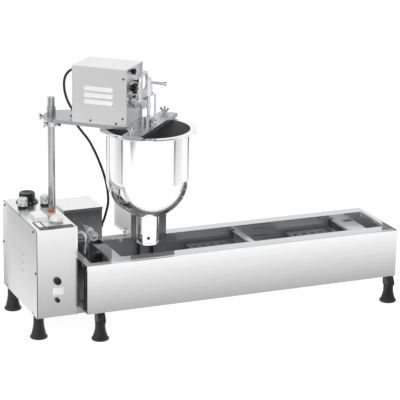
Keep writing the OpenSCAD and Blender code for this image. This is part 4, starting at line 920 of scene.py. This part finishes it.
@dataclass
class FryerCasing(SubAssembly):
    """The long casing with its rim, brackets and oil tank."""

    mark: Strip = Strip((44.0, 1.6, 0.25), 0.5, 0.1)
    mark_places: tuple[Triple, ...] = ((706.0, 129.0, 205.5), (706.0, 129.0, 185.0))
    heater_left: float = 309.0
    heater_screws: tuple[Pair, ...] = ((153.6, 239.2), (163.9, 227.5))

    def build(self) -> None:
        """Dresses the nodes and adds the tank's level marks and the heater box's screws."""
        self.dress(
            casing="casing casing_rim rear_brackets", paint="foot_brackets", basin="oil_tank cross_strips",
            sheath="heater_element", cabinet="heater_box",
            tray="flipper_left flipper_right", turned="flip_rod rod_guides",
        )
        self.add_marks()
        places = [(FRAME.spot(self.heater_left, y, z), Vector(TO_LEFT)) for y, z in self.heater_screws]
        add_screws("heater_box_screws", Screw(7.0, 4.0, Drive.HEX), places, "base", FINISHES.turned)

    def add_marks(self) -> None:
        """Two stamped oil level lines on the tank's back wall."""
        shape = bmesh.new()
        for at in self.mark_places:
            self.mark.add(shape, standing(at))
        add_piece("level_marks", shape, FINISHES.paint, "base")


@dataclass
class FlipperDrive(SubAssembly):
    """The housing behind the tank with its crank and fasteners."""

    front_y: float = 161.2
    front_screws: tuple[Pair, ...] = ((160.7, 284.1), (216.8, 283.0))
    shaft_end: Triple = (189.0, 106.0, 259.0)
    pin_end: Triple = (200.47, 107.0, 242.62)

    def build(self) -> None:
        """Dresses the nodes and adds screws and nuts."""
        self.dress(housing="drive_housing", casing="drive_lid", cast="drive_motor")
        self.dress(plate="drive_crank", cable="drive_gland")
        front = Vector(TO_FRONT)
        places = [(FRAME.spot(x, self.front_y, z), front) for x, z in self.front_screws]
        add_screws("housing_screws", Screw(7.5, 2.6, Drive.CROSS), places, "base", FINISHES.turned)
        ends = [(FRAME.spot(*end), front) for end in (self.shaft_end, self.pin_end)]
        add_screws("crank_nuts", Screw(10.0, 5.0, Drive.HEX), ends, "flip_crank", FINISHES.turned)


@dataclass
class DosingHead(SubAssembly):
    """The swivelling arm with its motor box, mechanism and stop collar."""

    cover_v: float = 58.5
    cover_screws: tuple[Pair, ...] = ((232.0, 709.0), (230.4, 602.0), (212.0, 587.0), (139.0, 589.0))
    plate_u: float = 235.0
    ball_at: Pair = (18.0, 689.0)
    stem: tuple[Pair, ...] = ((0.0, 0.0), (2.2, 0.0), (2.2, 5.0))
    ball_r: float = 5.5
    ball_out: float = 10.0
    # Angles of the ball's outline in degrees, from the stem up to just below the top
    ball_angles: tuple[float, ...] = (-46.5, -27.0, -7.5, 12.0, 31.5, 51.0, 70.5)
    stop_at: Pair = (15.0, 629.0)
    stop_outline: tuple[Pair, ...] = ((0.0, 0.0), (4.0, 0.0), (4.0, 4.0), (3.2, 5.0), (0.0, 5.0))

    def build(self) -> None:
        """Dresses the nodes and adds screws and the small stops on the plate."""
        self.dress(
            arm="arm", head="motor_cover", plate="mechanism_plate yoke", cast="dose_motor",
            turned="dose_crank plunger guide_rod rod_boss lift_handle stop_collar collar_screw arm_screw",
            plastic="dose_knob lock_knob", screw="collar_knob", cable="cable_gland",
        )
        places = []
        for side in (-1.0, 1.0):
            way = FRAME.arm_way(0.0, side, 0.0)
            for u, z in self.cover_screws:
                places.append((FRAME.arm_spot(u, side * self.cover_v, z), way))
        add_screws("motor_cover_screws", Screw(6.5, 2.2, Drive.CROSS), places, "head", FINISHES.screw)
        self.add_stops()

    def ball_outline(self) -> list[Pair]:
        """The stem with the ball on it, as radius and height."""
        turns = [math.radians(angle) for angle in self.ball_angles]
        arc = [(self.ball_r * math.cos(t), self.ball_out + self.ball_r * math.sin(t)) for t in turns]
        return [*self.stem, *arc, (0.0, self.ball_out + self.ball_r)]

    def add_stops(self) -> None:
        """A black ball on a stem and a black stop on the mechanism plate."""
        shape = bmesh.new()
        way = FRAME.arm_way(1.0, 0.0, 0.0)
        stops = ((self.ball_outline(), self.ball_at), (self.stop_outline, self.stop_at))
        for outline, (v, z) in stops:
            stop = bmesh.new()
            lathe(stop, outline, ROUND_STEPS)
            merge(shape, stop, aim(way, FRAME.arm_spot(self.plate_u, v, z)))
        add_piece("plate_stops", shape, FINISHES.plastic, "head")


@dataclass
class Hopper(SubAssembly):
    """The batter hopper with its spout, studs and wing nuts."""

    axis_u: float = 281.0
    spout_r: float = 30.0
    screw_z: float = 271.0
    screw_way: Triple = (-0.29, -0.957, 0.0)
    screw_sunk: float = 0.1

    def build(self) -> None:
        """Dresses the nodes and adds the spout's set screw."""
        self.dress(bowl="hopper", mirror="spout", turned="hopper_studs wing_nut_near wing_nut_far")
        axis = FRAME.arm_spot(self.axis_u, 0.0, self.screw_z)
        way = Vector(self.screw_way).normalized()
        places = [(axis + way * (self.spout_r - self.screw_sunk) * MM, way)]
        head = Screw(8.5, 4.0, Drive.SLOT)
        add_screws("spout_screw", head, places, "head", FINISHES.plastic)


@dataclass
class MotorCable(SubAssembly):
    """The two stretches of the motor cable, one on the head and one that hangs down to the drive."""

    diameter: float = 7.0
    gland_u: float = 78.0
    top_z: float = 712.0
    cut_z: float = 580.0
    hole_u: float = 66.0
    loop_out: float = 33.0
    fall_end: Triple = (250.3, 186.0, 251.0)
    end_tilt: float = 30.0
    # Points of the straight start and end of each stretch, in diameters from its end
    lead: tuple[float, ...] = (0.0, 0.5, 1.0)
    loop_shape: tuple[Pair, ...] = (
        (0.455, 0.056), (0.848, 0.177), (1.0, 0.355), (0.909, 0.565), (0.636, 0.758), (0.303, 0.903),
    )
    fall_shape: tuple[Triple, ...] = (
        (0.081, -0.037, 0.074), (0.243, -0.017, 0.14), (0.436, 0.043, 0.216), (0.619, 0.123, 0.314),
        (0.792, 0.242, 0.425), (0.954, 0.422, 0.542), (1.076, 0.601, 0.659), (1.137, 0.741, 0.758),
        (1.152, 0.86, 0.828), (1.122, 0.96, 0.894), (1.071, 1.0, 0.954),
    )
    steps: int = 4
    sides: int = 16

    def leads(self) -> list[float]:
        """The straight start's points in millimetres."""
        return [share * self.diameter for share in self.lead]

    def upper_route(self) -> list[Vector]:
        """The loop from the motor box's gland down into the arm."""
        start_u = self.gland_u - self.diameter
        drop = self.top_z - self.cut_z - self.diameter
        points = [FRAME.arm_spot(self.gland_u - lead, 0.0, self.top_z) for lead in self.leads()]
        for out, down in self.loop_shape:
            points.append(FRAME.arm_spot(start_u - self.loop_out * out, 0.0, self.top_z - drop * down))
        for lead in reversed(self.leads()):
            points.append(FRAME.arm_spot(self.hole_u, 0.0, self.cut_z + lead))
        return points

    def lower_route(self) -> list[Vector]:
        """The fall from under the arm to the gland on the drive housing."""
        start = FRAME.arm_spot(self.hole_u, 0.0, self.cut_z)
        end = FRAME.spot(*self.fall_end)
        span = end - start
        tilt = math.radians(self.end_tilt)
        way = Vector((math.sin(tilt), 0.0, math.cos(tilt)))
        points = [start - Vector((0.0, 0.0, lead * MM)) for lead in self.leads()]
        for share in self.fall_shape:
            points.append(start + Vector((span.x * share[0], span.y * share[1], span.z * share[2])))
        points += [end + way * (lead * MM) for lead in reversed(self.leads())]
        return points

    def lay(self, name: str, node: str, route: list[Vector], body: str | None) -> Object:
        """Args:
            name: the stretch's name.
            node: the CAD node.
            route: points that it passes, in part metres.
            body: the body that it rides on, or None.

        Returns:
            The new object.
        """
        path = smooth_route(route, self.steps)
        thick = self.diameter * MM
        piece = add_piece(name, tube(path, thick, self.sides), FINISHES.cable, body)
        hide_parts(node)
        return piece

    def build(self) -> None:
        """Lays both stretches; the lower one, from the head down to the base, rides on no body."""
        self.lay("motor_cable_loop", "cable_upper", self.upper_route(), "head")
        route = self.lower_route()
        fall = self.lay("motor_cable_fall", "cable_lower", route, None)
        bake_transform(fall)


# Stage


@dataclass(frozen=True)
class Card:
    """A flat card that only reflections show; its glow runs from one edge to the other along its rise.

    The middle is in machine millimetres, the size in metres. It thins out over its fade at one end.
    """

    name: str
    middle: Triple
    facing: Triple
    rise: Triple
    size: Pair
    glow: Pair
    one_sided: bool = False
    fade: float = 0.0

    def paper(self) -> Material:
        """Builds the card's own material: glowing paper that is brighter towards one edge."""
        made = bpy.data.materials.new("paper_" + self.name)
        tree = clear_tree(made)
        along = axes(tree)
        half = self.size[1] / 2
        strength = ramp(tree, along["Y"], (-half, half), self.glow)
        shown = add_node(tree, "ShaderNodeEmission", links={"Strength": strength}).outputs[0]
        veil = None
        if self.one_sided:
            veil = add_node(tree, "ShaderNodeNewGeometry").outputs["Backfacing"]
        if self.fade > 0.0:
            end = -self.size[0] / 2
            veil = ramp(tree, along["X"], (end, end + self.fade), (1.0, 0.0))
        if veil is not None:
            clear = add_node(tree, "ShaderNodeBsdfTransparent").outputs[0]
            links = {0: veil, 1: shown, 2: clear}
            shown = add_node(tree, "ShaderNodeMixShader", links=links).outputs[0]
        add_node(tree, "ShaderNodeOutputMaterial", links={"Surface": shown})
        return made

    def build(self) -> None:
        """Stands the card up as a part of the stage."""
        shape = bmesh.new()
        stretch = Matrix.Diagonal((self.size[0], self.size[1], 1.0, 1.0))
        bmesh.ops.create_grid(shape, x_segments=1, y_segments=1, size=0.5, matrix=stretch)
        thing = link_object(self.name, close_mesh(self.name, shape))
        thing.data.materials.append(self.paper())
        facing, rise = Vector(self.facing), Vector(self.rise)
        turn = Matrix((rise.cross(facing), rise, facing)).transposed().to_4x4()
        thing.matrix_world = Matrix.Translation(FRAME.spot(*self.middle)) @ turn
        thing.visible_camera = False
        thing.visible_diffuse = False
        thing.visible_shadow = False


@dataclass
class Studio:
    """Camera, lamps, floor, cards and white background."""

    camera_at: Triple = (-1394.3, -4410.8, 1802.9)
    yaw: float = 22.877
    pitch: float = 16.871
    roll: float = 0.93
    lens: float = 165.42
    white: str = "#FFFFFF"
    floor_lit: str = "#F2F2F2"
    floor_faint: str = "#8A8A8A"
    floor_half: float = 6.0
    floor_glow: float = 0.86
    world_fill: float = 0.55
    # Name, place, size and power of each lamp, in metres and watts, and where they all point
    lamps: tuple[tuple[str, Triple, float, float], ...] = (
        ("key_softbox", (-1.6, -2.2, 2.6), 2.4, 48.0),
        ("top_softbox", (0.3, 0.2, 3.2), 3.0, 30.0),
        ("right_softbox", (2.6, -1.4, 1.8), 2.0, 16.0),
    )
    lamp_aim: Triple = (-0.1, -0.05, 0.25)
    cards: tuple[Card, ...] = (
        Card("card_casing_front", (625.0, -82.0, 125.0), TO_BACK, UP, (1.01, 0.24), (0.2, 1.26)),
        Card("card_front_rim", (585.0, -39.0, 226.0), UP, TO_BACK, (0.93, 0.046), (0.26, 0.1), True),
        Card("card_box_front", (18.0, -20.0, 172.0), TO_BACK, UP, (0.2, 0.336), (0.4, 1.12)),
        Card("card_box_side", (-20.0, 160.0, 172.0), TO_RIGHT, UP, (0.48, 0.336), (0.95, 0.54)),
        Card("card_open_end", (117.5, 55.0, 152.0), TO_RIGHT, UP, (0.23, 0.14), (0.01, 0.02)),
        Card("card_drive_front", (195.0, 146.0, 262.0), TO_BACK, UP, (0.14, 0.1), (0.34, 0.06)),
        Card("card_heater_side", (289.0, 200.0, 258.0), TO_RIGHT, UP, (0.2, 0.1), (0.4, 0.7)),
        Card("card_heater_front", (368.0, 97.0, 264.0), TO_BACK, UP, (0.13, 0.08), (0.15, 0.06)),
        Card("card_casing_back", (585.0, 192.0, 115.0), TO_FRONT, UP, (1.03, 0.22), (0.3, 1.0)),
        Card("card_casing_right", (1070.0, 55.0, 115.0), TO_LEFT, UP, (0.4, 0.22), (0.3, 0.9)),
        Card("card_box_back", (40.0, 325.0, 172.0), TO_FRONT, UP, (0.24, 0.336), (0.4, 1.0)),
        Card(
            "card_floor_far_left", (-2250.0, -1450.0, 1.0), UP, TO_FRONT, (1.8, 1.4), (0.44, 0.44),
            fade=0.3,
        ),
        Card("card_room_front", (1000.0, -3300.0, 2450.0), TO_BACK, UP, (7.0, 3.4), (0.3, 0.15)),
        Card("card_room_ceiling", (500.0, 50.0, 2400.0), DOWN, TO_BACK, (4.0, 3.2), (0.18, 0.18)),
    )
    line_middle_u: float = 281.0
    line_away: float = 1.15
    line_height: float = 0.75
    line_fade: float = 0.25
    # Name, turn to the camera's left in degrees, width in metres and glow of each upright card
    lines: tuple[tuple[str, float, float, Pair], ...] = (
        ("line_right_near", -73.0, 0.13, (0.36, 0.36)),
        ("line_right_far", -134.0, 0.22, (0.16, 0.16)),
        ("line_left_near", 72.6, 0.13, (0.28, 0.28)),
        ("line_left_far", 149.0, 0.22, (0.25, 0.25)),
        ("shade_right", -89.0, 0.5, (0.74, 1.0)),
        ("shade_left", 89.0, 0.5, (1.0, 0.64)),
    )

    def make_camera(self) -> None:
        """Sets the camera where the photograph was taken from."""
        data = bpy.data.cameras.new("view_camera")
        data.lens = self.lens
        camera = link_object("view_camera", data)
        place = Matrix.Translation(FRAME.spot(*self.camera_at))
        for angle, axis in ((-self.yaw, "Z"), (90.0 - self.pitch, "X"), (self.roll, "Z")):
            place = place @ Matrix.Rotation(math.radians(angle), 4, axis)
        camera.matrix_world = place
        bpy.context.scene.camera = camera

    def mix_by_ray(self, tree: Tree, lit: Node, shown: Node) -> Socket:
        """Shows one shader to some rays and the other to the light that falls on things.

        Args:
            tree: the tree that the nodes join.
            lit: the shader for the light that falls on things.
            shown: the shader for camera, glossy and transmission rays.

        Returns:
            The mixed shader's output.
        """
        rays = add_node(tree, "ShaderNodeLightPath").outputs
        seen = rays["Is Camera Ray"]
        for kind in ("Is Glossy Ray", "Is Transmission Ray"):
            links = {0: seen, 1: rays[kind]}
            seen = add_node(tree, "ShaderNodeMath", {"operation": "MAXIMUM"}, links).outputs[0]
        links = {0: seen, 1: lit.outputs[0], 2: shown.outputs[0]}
        return add_node(tree, "ShaderNodeMixShader", links=links).outputs[0]

    def make_world(self) -> None:
        """A white background that lights things only softly."""
        world = bpy.data.worlds.new("white_room")
        bpy.context.scene.world = world
        tree = clear_tree(world)
        white = linear(self.white)
        fill = add_node(tree, "ShaderNodeBackground", {"Color": white, "Strength": self.world_fill})
        shown = add_node(tree, "ShaderNodeBackground", {"Color": white, "Strength": 1.0})
        mixed = self.mix_by_ray(tree, fill, shown)
        add_node(tree, "ShaderNodeOutputWorld", links={"Surface": mixed})

    def make_floor(self) -> None:
        """A pale floor that melts into the background and keeps a soft shadow."""
        shape = bmesh.new()
        bmesh.ops.create_grid(shape, x_segments=2, y_segments=2, size=self.floor_half)
        floor = link_object("floor", close_mesh("floor", shape))
        paper = bpy.data.materials.new("paper_seamless_white")
        tree = clear_tree(paper)
        lit = add_node(tree, "ShaderNodeBsdfDiffuse", {"Color": linear(self.floor_lit)})
        faint = add_node(tree, "ShaderNodeBsdfDiffuse", {"Color": linear(self.floor_faint)})
        glow = add_node(tree, "ShaderNodeEmission", {"Strength": self.floor_glow})
        shown = add_node(tree, "ShaderNodeAddShader", links={0: faint.outputs[0], 1: glow.outputs[0]})
        mixed = self.mix_by_ray(tree, lit, shown)
        add_node(tree, "ShaderNodeOutputMaterial", links={"Surface": mixed})
        floor.data.materials.append(paper)

    def make_lamps(self) -> None:
        """Large soft lamps in front, above and to the right."""
        for name, at, size, power in self.lamps:
            data = bpy.data.lights.new(name, "AREA")
            data.size = size
            data.energy = power
            lamp = link_object(name, data)
            way = Vector(self.lamp_aim) - Vector(at)
            lamp.matrix_world = aim(-way, Vector(at))

    def make_cards(self) -> None:
        """Cards for the soft shades of the sheets, and upright ones for the lines on the hopper."""
        for card in self.cards:
            card.build()
        middle = FRAME.arm_spot(self.line_middle_u, 0.0, 0.0)
        toward = FRAME.spot(*self.camera_at) - middle
        facing = math.atan2(toward.y, toward.x)
        for name, turn, width, glow in self.lines:
            angle = facing - math.radians(turn)
            way = Vector((math.cos(angle), math.sin(angle), 0.0))
            at = (middle + way * self.line_away) / MM
            spot = (at.x + FRAME.mid_x, at.y + FRAME.mid_y, self.line_height / MM / 2)
            across = (-way.y, way.x, 0.0)
            size = (self.line_height, width)
            Card(name, spot, tuple(-way), across, size, glow, fade=self.line_fade).build()

    def build(self) -> None:
        """Makes the whole stage."""
        bpy.context.scene.view_settings.view_transform = "Standard"
        self.make_world()
        self.make_floor()
        self.make_lamps()
        self.make_cards()


def main() -> None:
    """Loads the frame, then builds the camera, the cables, each sub-assembly and the stage."""
    logging.basicConfig(level=logging.INFO, format="%(name)s: %(message)s")
    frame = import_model()
    studio = Studio()
    studio.make_camera()
    for part in (MotorCable, ControlBox, FryerCasing, FlipperDrive, DosingHead, Hopper):
        part(frame["nodes"]).build()
    studio.build()


if __name__ == "__main__":
    main()
